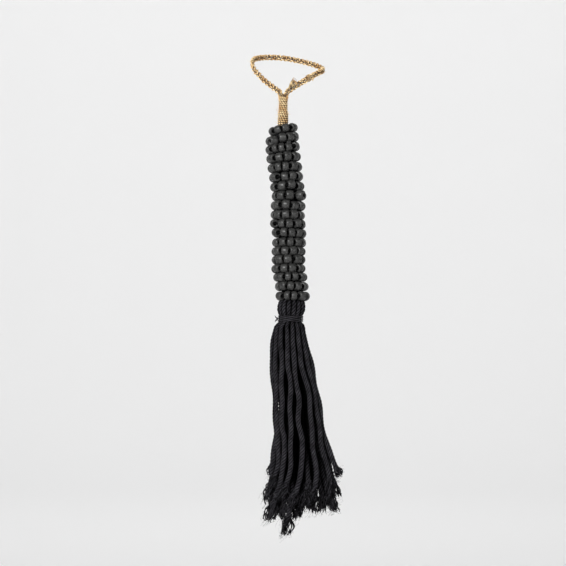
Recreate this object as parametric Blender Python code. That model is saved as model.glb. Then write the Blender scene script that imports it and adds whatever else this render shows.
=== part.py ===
"""A beaded tassel tieback, as it hangs.

A wide loop of plaited jute ends in a neck whipped with jute twine. Below the neck, rings
of round wooden beads sit one under another on a bundle of cotton cords, and under a
binding the cords hang free as a skirt of uneven, splayed strands.

Metres, +Z up, X to the right and -Y towards the viewer. The origin lies in the middle of
the loop's opening.
"""

import math

import bmesh
import bpy
from mathutils import Matrix, Vector

MM = 0.001
SEAT_Y = -31 * MM  # the depth at which the neck, the beads and the skirt hang
CURVE_SAMPLES = 12  # between two points of a route

# Plaited jute loop
PLAIT_WIDTH = 5.5 * MM
PLAIT_THICKNESS = 3.7 * MM
PLAIT_TWINE = 2.3 * MM  # diameter of each of its three twines
PLAIT_LAY = 16 * MM  # length in which a twine crosses over and comes back
PLAIT_STEPS_PER_LAY = 6
PLAIT_SIDES = 8
PLAIT_HEART = 0.8  # least half thickness of the plait, as a share of a twine's radius
PLAIT_END_SHARE = 0.78  # width left where the whipping pulls the plait tight
PLAIT_END_LENGTH = 12 * MM
GATHER_FLATNESS = 1.4  # how much wider than deep the loop is

# Route of the loop's middle line, chosen by hand: out of the neck at the left, round the
# left side, across the back and down the right side into the neck
LOOP_ROUTE_MM = (
    (-6.5, -31.0, -36.7),
    (-6.5, -31.0, -33.4),
    (-7.2, -31.0, -29.6),
    (-9.6, -30.6, -26.6),
    (-13.7, -28.4, -23.7),
    (-20.0, -24.2, -18.5),
    (-26.4, -19.8, -12.9),
    (-31.8, -15.0, -6.8),
    (-34.9, -11.3, -3.0),
    (-37.2, -6.4, 2.0),
    (-38.0, -0.6, 6.2),
    (-37.0, 6.2, 9.6),
    (-33.0, 14.2, 12.3),
    (-25.0, 21.2, 14.0),
    (-13.0, 26.0, 14.5),
    (0.0, 27.6, 13.4),
    (13.0, 26.0, 10.8),
    (25.0, 20.8, 7.4),
    (33.5, 13.2, 3.8),
    (38.3, 6.0, 0.4),
    (39.6, -1.0, -2.0),
    (38.0, -8.0, -3.7),
    (33.0, -14.4, -6.6),
    (27.2, -19.3, -9.9),
    (21.1, -22.9, -13.8),
    (13.1, -26.6, -19.0),
    (6.6, -29.4, -23.3),
    (2.0, -30.7, -26.6),
    (-0.6, -31.0, -29.6),
    (-1.5, -31.0, -33.4),
    (-1.5, -31.0, -36.7),
)

# Knot that closes the loop, with its two short ends, and a slack bight beside the neck
KNOT_AT_X = 23.6 * MM
KNOT_RADII = (4.2 * MM, 3.5 * MM)  # of its middle line, across and through the plait
KNOT_STRAND = 0.95 * MM  # radius of its section
KNOT_HALF_LENGTH = 2.8 * MM
KNOT_SEGMENTS = 14
KNOT_ENDS_MM = (
    ((22.4, -26.4, -14.2), (21.2, -27.2, -16.6), (21.5, -27.2, -19.6)),
    ((27.4, -24.8, -10.8), (28.8, -24.6, -12.6), (28.4, -24.8, -15.8)),
)
KNOT_END_RADIUS = 1.0 * MM
BIGHT_ROUTE_MM = (
    (1.0, -33.6, -27.0),
    (2.4, -33.8, -22.6),
    (4.0, -33.3, -18.4),
    (5.8, -32.6, -14.4),
    (7.6, -32.2, -13.8),
    (9.6, -31.9, -16.6),
    (10.6, -31.7, -19.4),
)
BIGHT_RADIUS = 0.85 * MM

# Whipped neck
NECK_TOP_Z = -37.0 * MM
NECK_BOTTOM_Z = -68.0 * MM
NECK_TURNS = 11
NECK_TOP_RADIUS = 5.2 * MM
NECK_BOTTOM_RADIUS = 5.9 * MM
NECK_GROOVE = 0.55 * MM
NECK_SIDES = 14

# Middle line of the tassel seen from the front: height, sideways place
AXIS_BLEND_MM = 4
AXIS_MM = (
    (-31, -4.0),
    (-68, -4.5),
    (-88, -4.5),
    (-110, -2.3),
    (-130, 0.1),
    (-150, 1.4),
    (-170, 1.8),
    (-190, 2.2),
    (-209, 1.8),
    (-222, 2.2),
    (-237, 4.6),
    (-248, 5.6),
    (-262, 4.6),
    (-277, 3.7),
)

# Strung beads. Every ring is one solid with a swelling for each of its beads
BEAD_RADIUS = 4.9 * MM
BEAD_END_SHARE = 0.66  # of the radius, where two beads meet on the string
BEAD_STATIONS = (0.0, 0.27, 0.73)  # places along one bead, as shares of its length
BEAD_STATION_SHARES = (BEAD_END_SHARE, 1.0, 1.0)
BEAD_SECTION_DEGREES = (0, 48, 96, 150, 210, 264, 312)
RING_RADIUS = 13.6 * MM
FIRST_RING_RADIUS = 11.4 * MM
# height, sideways place, rise to the right, number of beads, turn of the front bead
# towards the right, half the height that the beads take between the next rings
RING_COLUMNS = ("z_mm", "x_mm", "rise_deg", "beads", "turn_deg", "half_mm")
RINGS = (
    (-68.0, -4.3, 12.0, 8, 17, 4.6),
    (-78.2, -5.2, 11.5, 9, 0, 4.6),
    (-88.3, -4.5, 8.0, 10, -4, 4.6),
    (-98.5, -3.7, 5.5, 8, 21, 4.6),
    (-109.1, -2.2, 4.0, 10, 6, 4.8),
    (-119.4, -0.9, 4.0, 10, -7, 4.8),
    (-129.6, 0.2, 2.0, 8, 20, 4.7),
    (-139.6, 2.0, 0.5, 8, 2, 4.7),
    (-150.3, 1.2, -1.8, 8, 25, 4.8),
    (-160.5, 1.0, -2.0, 8, -9, 4.7),
    (-170.2, 2.0, -1.0, 10, 4, 4.6),
    (-180.1, 2.9, -1.2, 10, 8, 4.6),
    (-190.0, 2.5, 0.3, 10, 4, 4.5),
    (-199.5, 1.7, -0.4, 9, 22, 4.4),
    (-208.7, 1.6, -0.4, 8, -1, 4.4),
    (-218.0, 1.5, 0.4, 8, 23, 4.4),
    (-227.3, 3.3, 0.0, 9, -11, 4.4),
    (-237.2, 5.2, -1.0, 10, -5, 4.6),
    (-247.9, 6.3, -0.5, 10, 8, 4.7),
)

# Cotton cord bundle: core through the beads, then the head above the binding.
# height, radius to the outside of the cords, depth of the grooves between them
BUNDLE_CORDS = 15
BUNDLE_SECTIONS_MM = (
    (-68.3, 5.4, 0.3),
    (-74.5, 6.4, 0.4),
    (-81.0, 7.4, 0.5),
    (-110.0, 7.4, 0.5),
    (-140.0, 7.4, 0.5),
    (-180.0, 7.4, 0.5),
    (-215.0, 7.4, 0.5),
    (-240.0, 7.4, 0.5),
    (-253.0, 7.8, 0.5),
    (-254.8, 13.3, 0.8),
    (-258.0, 15.0, 1.0),
    (-264.0, 15.2, 1.0),
    (-267.8, 13.6, 0.8),
    (-268.8, 12.2, 0.2),
    (-276.3, 12.2, 0.2),
)

# Binding
BINDING_TOP_Z = -269.1 * MM
BINDING_TURNS = 4
BINDING_YARN = 1.6 * MM
BINDING_INNER_RADIUS = 12.9 * MM
BINDING_OUTER_RADIUS = 13.8 * MM
BINDING_GROOVE = 0.5 * MM
BINDING_SIDES = 26
BINDING_KNOT_RADIUS = 1.9 * MM

# Skirt: drop below the binding, left edge, right edge, half of its depth
SKIRT_TOP_Z = -276.3 * MM
SKIRT_SECTIONS_MM = (
    (-4, -8.3, 15.7, 12.0),
    (0, -8.3, 15.7, 12.0),
    (6, -13.6, 18.4, 15.6),
    (22, -16.0, 22.6, 18.0),
    (58, -16.4, 30.6, 20.5),
    (115, -14.6, 38.8, 22.5),
    (160, -17.0, 46.0, 24.0),
    (200, -20.5, 50.5, 25.0),
    (235, -22.5, 52.0, 25.5),
)
# Strands. They swell below the binding, which squeezes them, and spread near their ends
STRAND_RADIUS = 2.8 * MM
STRAND_ROOT_RADIUS = 1.72 * MM
STRAND_SWELL = 26 * MM  # drop over which a strand comes to its full size
STRAND_GAP = 0.35 * MM
CORNER_ROOM = 1.06  # share of a strand's width kept free for the corners of its section
LEAN_FROM = 95 * MM  # drop at which a strand starts to lean
LEAN_POWER = 1.6  # over 1 bends a strand more towards its end
# drops at which a strand has a row of points; the first ones are held by the binding
STRAND_ROWS_MM = (-3.5, 0.5, 5, 12, 24, 42, 62, 84, 106, 128, 149, 169, 189, 209, 231)
HELD_ROWS = 2
SHORTEST_STEP = 6 * MM  # between the last two rows of a strand
PUSH_ROUNDS = 60
ROOT_CIRCLES_MM = {"outer": 10.1, "middle": 5.9, "inner": 2.3}
# circle, turn from the front towards the right, length below the binding,
# lean of the end to the right, lean of the end towards the viewer
STRAND_COLUMNS = ("circle", "turn_deg", "length_mm", "right_mm", "front_mm")
STRANDS = (
    ("outer", 0, 230, -9, 3),
    ("outer", 24, 207, -4, 2),
    ("outer", 48, 206, 7, 1),
    ("outer", 72, 186, 8, 1),
    ("outer", 96, 180, 12, 1),
    ("outer", 120, 165, 15, 0),
    ("outer", 144, 190, 6, -2),
    ("outer", 168, 204, 1, -2),
    ("outer", -168, 209, -2, -3),
    ("outer", -144, 160, -10, 0),
    ("outer", -120, 190, -9, 0),
    ("outer", -96, 214, -5, 1),
    ("outer", -72, 216, -4, 2),
    ("outer", -48, 222, -8, 3),
    ("outer", -24, 226, -6, 3),
    ("middle", 0, 213, 1, 1),
    ("middle", 40, 205, 4, 1),
    ("middle", 80, 207, 7, 0),
    ("middle", 120, 188, 12, -1),
    ("middle", 160, 199, 2, -1),
    ("middle", -160, 203, -1, -1),
    ("middle", -120, 193, -5, -1),
    ("middle", -80, 205, -6, 1),
    ("middle", -40, 212, -4, 1),
    ("inner", 20, 209, 3, 0),
    ("inner", 140, 196, 3, 0),
    ("inner", -100, 201, -3, 0),
)


def value_at(table, at, column):
    """Value in a table's column at a place between two rows of its first column."""
    if at <= table[0][0]:
        return table[0][column]
    for low, high in zip(table, table[1:]):
        if at <= high[0]:
            share = (at - low[0]) / (high[0] - low[0])
            return low[column] + (high[column] - low[column]) * share
    return table[-1][column]


def axis_x(z):
    """Sideways place of the tassel's middle line at a height, with its corners eased."""
    rows = [(-height, x) for height, x in AXIS_MM]
    steps = (-AXIS_BLEND_MM, 0, AXIS_BLEND_MM)
    near = [value_at(rows, -z / MM + step, 1) for step in steps]
    return sum(near) / len(near) * MM


def smooth_line(points, step):
    """Points step apart on a smooth curve through the given points."""
    ends = (2 * points[0] - points[1], 2 * points[-1] - points[-2])
    through = [ends[0], *points, ends[1]]
    fine = []
    for i in range(1, len(through) - 2):
        a, b, c, d = through[i - 1 : i + 3]
        for k in range(CURVE_SAMPLES):
            t = k / CURVE_SAMPLES
            fine.append(
                0.5
                * (
                    2 * b
                    + (c - a) * t
                    + (2 * a - 5 * b + 4 * c - d) * t**2
                    + (3 * b - 3 * c + d - a) * t**3
                )
            )
    fine.append(points[-1])
    along = [0.0]
    for a, b in zip(fine, fine[1:]):
        along.append(along[-1] + (b - a).length)
    count = max(2, round(along[-1] / step))
    line, i = [], 0
    for k in range(count + 1):
        at = along[-1] * k / count
        while i < len(along) - 2 and along[i + 1] < at:
            i += 1
        share = (at - along[i]) / max(along[i + 1] - along[i], 1e-9)
        line.append(fine[i].lerp(fine[i + 1], min(1.0, share)))
    return line


def metres(points_mm):
    return [Vector(point) * MM for point in points_mm]


def finish_material(name, colour, roughness):
    material = bpy.data.materials.new(name)
    material.use_nodes = True
    shader = material.node_tree.nodes["Principled BSDF"]
    shader.inputs["Base Color"].default_value = (*colour, 1.0)
    shader.inputs["Roughness"].default_value = roughness
    shader.inputs["Metallic"].default_value = 0.0
    material.diffuse_color = (*colour, 1.0)
    return material


def add_object(name, mesh, material, parent, smooth_angle=40):
    mesh.materials.clear()
    mesh.materials.append(material)
    mesh.shade_smooth()
    mesh.set_sharp_from_angle(angle=math.radians(smooth_angle))
    piece = bpy.data.objects.new(name, mesh)
    bpy.context.scene.collection.objects.link(piece)
    piece.parent = parent
    return piece


def skinned(name, rows, closed=False):
    """Mesh through rows of points, each row a ring; closed joins the last row to the first."""
    bm = bmesh.new()
    rings = [[bm.verts.new(point) for point in row] for row in rows]
    pairs = list(zip(rings, rings[1:]))
    if closed:
        pairs.append((rings[-1], rings[0]))
    for a, b in pairs:
        for k in range(len(a)):
            after = (k + 1) % len(a)
            bm.faces.new((a[k], a[after], b[after], b[k]))
    if not closed:
        bm.faces.new(rings[0][::-1])
        bm.faces.new(rings[-1])
    bmesh.ops.recalc_face_normals(bm, faces=bm.faces)
    mesh = bpy.data.meshes.new(name)
    bm.to_mesh(mesh)
    bm.free()
    return mesh


def tube(name, line, radius, sides_resolution=1):
    """Round tube with filled caps along a line, as a mesh."""
    curve = bpy.data.curves.new(name + "_line", "CURVE")
    curve.dimensions = "3D"
    curve.bevel_depth = radius
    curve.bevel_resolution = sides_resolution
    curve.use_fill_caps = True
    spline = curve.splines.new("POLY")
    spline.points.add(len(line) - 1)
    for point, place in zip(spline.points, line):
        point.co = (*place, 1.0)
    carrier = bpy.data.objects.new(name + "_carrier", curve)
    mesh = bpy.data.meshes.new_from_object(carrier)
    bpy.data.objects.remove(carrier)
    bm = bmesh.new()
    bm.from_mesh(mesh)
    bmesh.ops.remove_doubles(bm, verts=bm.verts, dist=0.01 * MM)
    bmesh.ops.recalc_face_normals(bm, faces=bm.faces)
    bm.to_mesh(mesh)
    bm.free()
    return mesh


def joined(piece, others):
    """Mesh of a piece with other closed meshes fused to it by Boolean unions."""
    helpers = []
    for index, mesh in enumerate(others):
        helper = bpy.data.objects.new(f"{piece.name}_add_{index}", mesh)
        bpy.context.scene.collection.objects.link(helper)
        union = piece.modifiers.new(f"fuse_{index}", "BOOLEAN")
        union.operation = "UNION"
        union.solver = "EXACT"
        union.object = helper
        helpers.append(helper)
    bpy.context.view_layer.update()
    fused = bpy.data.meshes.new_from_object(
        piece.evaluated_get(bpy.context.evaluated_depsgraph_get())
    )
    piece.modifiers.clear()
    piece.data = fused
    for helper in helpers:
        bpy.data.objects.remove(helper)


def plait_outline(phase, width_share):
    """Outline of the three plaited twines across the cord, as (across, through) points."""
    twine = PLAIT_TWINE / 2
    sway = (PLAIT_WIDTH / 2 - twine) * width_share
    lift = PLAIT_THICKNESS / 2 - twine
    middles = [
        Vector((sway * math.sin(phase + turn), lift * math.sin(2 * (phase + turn))))
        for turn in (0, 2 * math.pi / 3, 4 * math.pi / 3)
    ]
    outline = []
    for k in range(PLAIT_SIDES):
        angle = 2 * math.pi * (k + 0.5) / PLAIT_SIDES
        ray = Vector((math.cos(angle), math.sin(angle)))
        reach = PLAIT_HEART * twine
        for middle in middles:
            beside = middle.x * ray.y - middle.y * ray.x
            if abs(beside) < twine:
                reach = max(reach, middle.dot(ray) + math.sqrt(twine**2 - beside**2))
        outline.append(ray * reach)
    return outline


def loop_frame(line, index):
    """Place, direction, width direction and outward direction of the loop at a point."""
    before = line[max(index - 1, 0)]
    after = line[min(index + 1, len(line) - 1)]
    along = (after - before).normalized()
    if index in (0, len(line) - 1):
        along = Vector((0, 0, 1 if index == 0 else -1))
    place = line[index]
    outward = Vector((place.x, place.y * GATHER_FLATNESS, 0)).normalized()
    across = along.cross(outward).normalized()
    return place, along, across, across.cross(along)


def loop_cord(material, parent):
    """Jute plait of the loop, out of the neck and back into it."""
    line = smooth_line(metres(LOOP_ROUTE_MM), PLAIT_LAY / PLAIT_STEPS_PER_LAY)
    rows = []
    run = 0.0
    length = sum((b - a).length for a, b in zip(line, line[1:]))
    for index, place in enumerate(line):
        if index:
            run += (place - line[index - 1]).length
        from_end = min(run, length - run)
        eased_in = min(1.0, from_end / PLAIT_END_LENGTH)
        share = PLAIT_END_SHARE + (1 - PLAIT_END_SHARE) * eased_in
        middle, _, across, outward = loop_frame(line, index)
        outline = plait_outline(2 * math.pi * run / PLAIT_LAY, share)
        rows.append([middle + across * p.x + outward * p.y for p in outline])
    return add_object("loop_cord", skinned("loop_cord", rows), material, parent, 50)


def loop_knot(material, parent):
    """Twine wound round the right leg of the loop, with its two cut ends."""
    line = smooth_line(metres(LOOP_ROUTE_MM), 0.5 * MM)
    right_leg = [i for i, p in enumerate(line) if p.y < 0 and p.z < 0 and p.x > 0]
    at = min(right_leg, key=lambda i: abs(line[i].x - KNOT_AT_X))
    middle, along, across, outward = loop_frame(line, at)
    rows = []
    rings = []
    for k in range(KNOT_SEGMENTS):
        turn = 2 * math.pi * k / KNOT_SEGMENTS
        ray = across * math.cos(turn) + outward * math.sin(turn)
        ring = (
            middle
            + across * KNOT_RADII[0] * math.cos(turn)
            + outward * KNOT_RADII[1] * math.sin(turn)
        )
        rings.append(ring)
        section = []
        for corner in range(6):
            angle = 2 * math.pi * corner / 6
            section.append(
                ring
                + ray * KNOT_STRAND * math.cos(angle)
                + along * KNOT_HALF_LENGTH * math.sin(angle)
            )
        rows.append(section)
    knot = add_object(
        "loop_knot", skinned("loop_knot", rows, closed=True), material, parent
    )
    ends = []
    for index, route_mm in enumerate(KNOT_ENDS_MM):
        route = metres(route_mm)
        route.insert(0, min(rings, key=lambda ring: (ring - route[0]).length))
        line = smooth_line(route, 1.2 * MM)
        ends.append(tube(f"knot_end_{index}", line, KNOT_END_RADIUS))
    joined(knot, ends)
    return knot


def loop_bight(material, parent):
    """Slack turn of twine that stands out beside the neck."""
    line = smooth_line(metres(BIGHT_ROUTE_MM), 2.2 * MM)
    mesh = tube("loop_bight", line, BIGHT_RADIUS)
    return add_object("loop_bight", mesh, material, parent, 60)


def turned(name, profile, sides, centre_x):
    """Solid of revolution about the tassel's middle line: rows of (height, radius)."""
    rows = []
    for z, radius in profile:
        x = centre_x(z)
        rows.append(
            [
                Vector(
                    (
                        x + radius * math.cos(2 * math.pi * k / sides),
                        SEAT_Y + radius * math.sin(2 * math.pi * k / sides),
                        z,
                    )
                )
                for k in range(sides)
            ]
        )
    return skinned(name, rows)


def whipped_neck(material, parent):
    """Jute twine wound round the two ends of the loop, a ridge for each turn."""
    height = (NECK_TOP_Z - NECK_BOTTOM_Z) / NECK_TURNS
    profile = []
    for half in range(2 * NECK_TURNS + 1):
        z = NECK_TOP_Z - half * height / 2
        share = half / (2 * NECK_TURNS)
        crest = NECK_TOP_RADIUS + (NECK_BOTTOM_RADIUS - NECK_TOP_RADIUS) * share
        profile.append((z, crest if half % 2 else crest - NECK_GROOVE))
    mesh = turned("neck_whipping", profile, NECK_SIDES, axis_x)
    return add_object("neck_whipping", mesh, material, parent, 25)


def bead_ring_mesh(beads, radius, half_height):
    """Ring of beads on one string, the first at the front, a waist where two meet."""
    rows = []
    for bead in range(beads):
        for place, share in zip(BEAD_STATIONS, BEAD_STATION_SHARES):
            turn = 2 * math.pi * (bead + place - 0.5) / beads
            outward = Vector((math.sin(turn), -math.cos(turn), 0))
            row = []
            for degrees in BEAD_SECTION_DEGREES:
                angle = math.radians(degrees)
                out = radius + BEAD_RADIUS * share * math.cos(angle)
                up = half_height * share * math.sin(angle)
                row.append(outward * out + Vector((0, 0, up)))
            rows.append(row)
    return skinned(f"beads_{beads}", rows, closed=True)


def bead_rings(material, parent):
    """All the rings of beads, from the neck down to the head of the tassel."""
    made = {}
    for index, values in enumerate(RINGS):
        ring = dict(zip(RING_COLUMNS, values))
        radius = RING_RADIUS if index else FIRST_RING_RADIUS
        key = (ring["beads"], radius, ring["half_mm"] * MM)
        if key not in made:
            made[key] = bead_ring_mesh(*key)
        piece = add_object(f"bead_ring_{index + 1:02d}", made[key], material, parent)
        piece.matrix_world = (
            Matrix.Translation((ring["x_mm"] * MM, SEAT_Y, ring["z_mm"] * MM))
            @ Matrix.Rotation(-math.radians(ring["rise_deg"]), 4, "Y")
            @ Matrix.Rotation(math.radians(ring["turn_deg"]), 4, "Z")
        )


def skirt_shape(drop):
    """Middle, half width and half depth of the skirt at a drop below the binding."""
    left, right, depth = (
        value_at(SKIRT_SECTIONS_MM, drop / MM, column) * MM for column in (1, 2, 3)
    )
    return (left + right) / 2, (right - left) / 2, depth


def strand_radius(drop):
    """Strands swell from where the binding squeezes them to their full size."""
    share = min(1.0, max(0.0, drop / STRAND_SWELL))
    return STRAND_ROOT_RADIUS + (STRAND_RADIUS - STRAND_ROOT_RADIUS) * share


def strand_target(strand, drop):
    """Place that a strand would take at a drop, if no other were in its way."""
    middle, half_width, half_depth = skirt_shape(drop)
    inside = strand_radius(drop)
    share = ROOT_CIRCLES_MM[strand["circle"]] / ROOT_CIRCLES_MM["outer"]
    turn = math.radians(strand["turn_deg"])
    span = max(strand["length_mm"] * MM - LEAN_FROM, MM)
    lean = max(0.0, min(1.0, (drop - LEAN_FROM) / span)) ** LEAN_POWER
    x = middle + (half_width - inside) * share * math.sin(turn)
    y = SEAT_Y - (half_depth - inside) * share * math.cos(turn)
    return Vector(
        (x + lean * strand["right_mm"] * MM, y - lean * strand["front_mm"] * MM)
    )


def strand_lines():
    """Middle line of every strand, pushed aside wherever two would share a place."""
    strands = [dict(zip(STRAND_COLUMNS, values)) for values in STRANDS]
    drops = [drop * MM for drop in STRAND_ROWS_MM]
    places = [[strand_target(strand, drop) for drop in drops] for strand in strands]
    for _ in range(PUSH_ROUNDS):
        for level in range(HELD_ROWS, len(drops)):
            needed = 2 * strand_radius(drops[level]) * CORNER_ROOM + STRAND_GAP
            for i in range(len(strands)):
                for j in range(i):
                    apart = places[i][level] - places[j][level]
                    missing = needed - apart.length
                    if missing > 0:
                        push = apart.normalized() * missing / 2
                        places[i][level] += push
                        places[j][level] -= push
    lines = []
    for strand, line in zip(strands, places):
        full = [
            Vector((place.x, place.y, SKIRT_TOP_Z - drop))
            for place, drop in zip(line, drops)
        ]
        length = strand["length_mm"] * MM
        kept = [
            point for point, drop in zip(full, drops) if drop < length - SHORTEST_STEP
        ]
        last = len(kept)
        share = (length - drops[last - 1]) / (drops[last] - drops[last - 1])
        kept.append(full[last - 1].lerp(full[last], share))
        lines.append(kept)
    return lines


def strand_mesh(index, line):
    """Four-sided strand, thinner where it comes out of the binding."""
    rows = []
    for k, place in enumerate(line):
        along = (line[min(k + 1, len(line) - 1)] - line[max(k - 1, 0)]).normalized()
        across = along.cross(Vector((0, 1, 0))).normalized()
        through = across.cross(along)
        radius = strand_radius(SKIRT_TOP_Z - place.z)
        rows.append(
            [
                place + (across * math.cos(a) + through * math.sin(a)) * radius
                for a in (math.pi * (0.25 + 0.5 * side) for side in range(4))
            ]
        )
    return skinned(f"strand_{index:02d}", rows)


def tassel_cords(material, parent):
    """Cotton cord bundle: core, head and the free strands, rooted in the head."""
    rows = []
    for z_mm, radius_mm, groove_mm in BUNDLE_SECTIONS_MM:
        z = z_mm * MM
        row = []
        for k in range(2 * BUNDLE_CORDS):
            turn = math.pi * k / BUNDLE_CORDS
            radius = (radius_mm - (groove_mm if k % 2 else 0)) * MM
            x = axis_x(z) + radius * math.cos(turn)
            row.append(Vector((x, SEAT_Y + radius * math.sin(turn), z)))
        rows.append(row)
    bundle = add_object("tassel_cords", skinned("tassel_cords", rows), material, parent)
    strands = bmesh.new()
    for index, line in enumerate(strand_lines()):
        strands.from_mesh(strand_mesh(index, line))
    together = bpy.data.meshes.new("strands")
    strands.to_mesh(together)
    strands.free()
    joined(bundle, [together])
    return bundle


def binding(material, parent):
    """Yarn wound round the head, a ridge for each turn, knotted at the left."""
    z = BINDING_TOP_Z - BINDING_TURNS * BINDING_YARN / 2
    centre = Vector((axis_x(z), SEAT_Y, z))
    rows = []
    for k in range(BINDING_SIDES):
        turn = 2 * math.pi * k / BINDING_SIDES
        outward = Vector((math.cos(turn), math.sin(turn), 0))
        half_height = BINDING_TURNS * BINDING_YARN / 2
        row = [centre + outward * BINDING_INNER_RADIUS + Vector((0, 0, half_height))]
        for half in range(2 * BINDING_TURNS + 1):
            ridge = 0 if half % 2 else BINDING_GROOVE
            up = half_height - half * BINDING_YARN / 2
            row.append(
                centre
                + outward * (BINDING_OUTER_RADIUS - ridge)
                + Vector((0, 0, up))
            )
        row.append(
            centre + outward * BINDING_INNER_RADIUS - Vector((0, 0, half_height))
        )
        rows.append(row)
    piece = add_object(
        "binding", skinned("binding", rows, closed=True), material, parent, 30
    )
    bm = bmesh.new()
    bmesh.ops.create_uvsphere(
        bm, u_segments=8, v_segments=6, radius=BINDING_KNOT_RADIUS
    )
    knot_place = centre + Vector((-BINDING_OUTER_RADIUS - 0.6 * MM, 0, 0))
    bmesh.ops.translate(bm, verts=bm.verts, vec=knot_place)
    knot = bpy.data.meshes.new("binding_knot")
    bm.to_mesh(knot)
    bm.free()
    joined(piece, [knot])
    return piece


def main():
    for old in list(bpy.data.objects):
        bpy.data.objects.remove(old)
    root = bpy.data.objects.new("tassel", None)
    bpy.context.scene.collection.objects.link(root)
    jute = finish_material("jute", (0.52, 0.34, 0.17), 0.85)
    wood = finish_material("black_stained_wood", (0.06, 0.06, 0.062), 0.55)
    cotton = finish_material("black_cotton", (0.022, 0.021, 0.025), 0.95)
    loop_cord(jute, root)
    loop_knot(jute, root)
    loop_bight(jute, root)
    whipped_neck(jute, root)
    bead_rings(wood, root)
    tassel_cords(cotton, root)
    binding(cotton, root)


main()
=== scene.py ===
"""Looks of a beaded tassel tieback.

A loop of plaited jute, a neck whipped with jute twine, rings of black wooden beads strung
round a bundle of cotton cords, a binding, and a skirt of twisted cords with frayed ends.
"""

import math
import random

import bmesh
import bpy
import numpy as np
from mathutils import Matrix, Vector
from mathutils.kdtree import KDTree


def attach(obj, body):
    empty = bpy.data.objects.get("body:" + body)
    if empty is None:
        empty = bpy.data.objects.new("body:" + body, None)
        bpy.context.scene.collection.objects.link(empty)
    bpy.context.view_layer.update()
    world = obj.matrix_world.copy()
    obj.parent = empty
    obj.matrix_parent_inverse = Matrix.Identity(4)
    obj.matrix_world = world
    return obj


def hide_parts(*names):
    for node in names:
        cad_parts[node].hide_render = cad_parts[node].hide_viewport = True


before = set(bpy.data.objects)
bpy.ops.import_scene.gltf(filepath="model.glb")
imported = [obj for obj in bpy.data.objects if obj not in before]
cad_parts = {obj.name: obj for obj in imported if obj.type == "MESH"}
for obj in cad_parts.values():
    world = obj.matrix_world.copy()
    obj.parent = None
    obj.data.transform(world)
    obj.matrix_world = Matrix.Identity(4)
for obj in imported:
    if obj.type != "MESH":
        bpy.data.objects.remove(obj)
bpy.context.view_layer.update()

MM = 0.001
SEAT_Y = -31 * MM  # depth at which the neck, the beads and the skirt hang

# Photograph: what a pixel measures at the tassel, and the camera that gives it
PIXEL = 1.08 * MM
PHOTO_PIXELS = 566
PHOTO_CENTRE = (-4.3 * MM, -234.4 * MM)  # sideways and up, at the middle of the picture
CAMERA_DISTANCE = 2600 * MM
SENSOR_MM = 36

# Studio in metres: a floor that curves up into a round wall, and lights in watts
FLOOR_Z = -0.72
FLOOR_RADIUS = 3.0
SWEEP_RADIUS = 1.6
SWEEP_STEPS = 8
WALL_TOP_Z = 5.5
WALL_STEPS = 64
AIR_STRENGTH = 0.16
LIGHT_AIM = (0, SEAT_Y, -0.25)
LIGHTS = (
    ("key", (-1.15, -2.3, 0.75), LIGHT_AIM, 0.5, 79),
    ("fill", (1.7, -2.0, 0.2), LIGHT_AIM, 1.4, 10),
    ("wall_light", (0, 1.6, 2.2), (0, 4.6, 0.0), 2.0, 50),
)

# Plaited jute loop: middle line, out of the neck at the left and back at the right
LOOP_ROUTE_MM = (
    (-6.5, -31.0, -36.7),
    (-6.5, -31.0, -33.4),
    (-7.2, -31.0, -29.6),
    (-9.6, -30.6, -26.6),
    (-13.7, -28.4, -23.7),
    (-20.0, -24.2, -18.5),
    (-26.4, -19.8, -12.9),
    (-31.8, -15.0, -6.8),
    (-34.9, -11.3, -3.0),
    (-37.2, -6.4, 2.0),
    (-38.0, -0.6, 6.2),
    (-37.0, 6.2, 9.6),
    (-33.0, 14.2, 12.3),
    (-25.0, 21.2, 14.0),
    (-13.0, 26.0, 14.5),
    (0.0, 27.6, 13.4),
    (13.0, 26.0, 10.8),
    (25.0, 20.8, 7.4),
    (33.5, 13.2, 3.8),
    (38.3, 6.0, 0.4),
    (39.6, -1.0, -2.0),
    (38.0, -8.0, -3.7),
    (33.0, -14.4, -6.6),
    (27.2, -19.3, -9.9),
    (21.1, -22.9, -13.8),
    (13.1, -26.6, -19.0),
    (6.6, -29.4, -23.3),
    (2.0, -30.7, -26.6),
    (-0.6, -31.0, -29.6),
    (-1.5, -31.0, -33.4),
    (-1.5, -31.0, -36.7),
)
PLAIT_WIDTH = 7.0 * MM
PLAIT_THICKNESS = 4.6 * MM
PLAIT_LAY = 16 * MM
PLAIT_TWINE = 1.42 * MM  # radius of each plaited twine
PLAIT_TWINE_LAY = 5.5 * MM
PLAIT_STEP = 0.7 * MM
PLAIT_END_SHARE = 0.8
PLAIT_END_LENGTH = 10 * MM
JUTE_PLIES = 2
LOOP_FLATNESS = 1.4  # how much wider than deep the loop is

KNOT_AT_X = 23.6 * MM
KNOT_RADII = (3.5 * MM, 2.6 * MM)
KNOT_TWINE = 0.62 * MM
KNOT_TWINE_LAY = 5 * MM
KNOT_TWINE_STEP = 0.6 * MM
KNOT_TURNS = 2.2
KNOT_LENGTH = 3.8 * MM
# Turn that lies over the others: places across the plait, along it and outwards
KNOT_OVER_MM = ((3.6, -2.4, 2.0), (1.6, -0.6, 3.6), (-1.6, 1.2, 3.6), (-3.8, 2.4, 1.6))
KNOT_ENDS_MM = (
    ((22.4, -26.4, -14.2), (21.2, -27.2, -16.4), (20.6, -27.2, -18.2)),
    ((27.4, -24.8, -10.8), (28.6, -24.6, -12.4), (28.2, -24.8, -14.2)),
)
BIGHT_YARNS = 26
BIGHT_TALL_YARNS = 2  # those that reach the whole route
BIGHT_ROUTE_MM = (
    (1.0, -33.6, -27.0),
    (2.4, -33.8, -22.6),
    (4.0, -33.3, -18.4),
    (5.8, -32.6, -14.4),
    (7.6, -32.2, -13.8),
    (9.6, -31.9, -16.6),
    (10.6, -31.7, -19.4),
)

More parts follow.
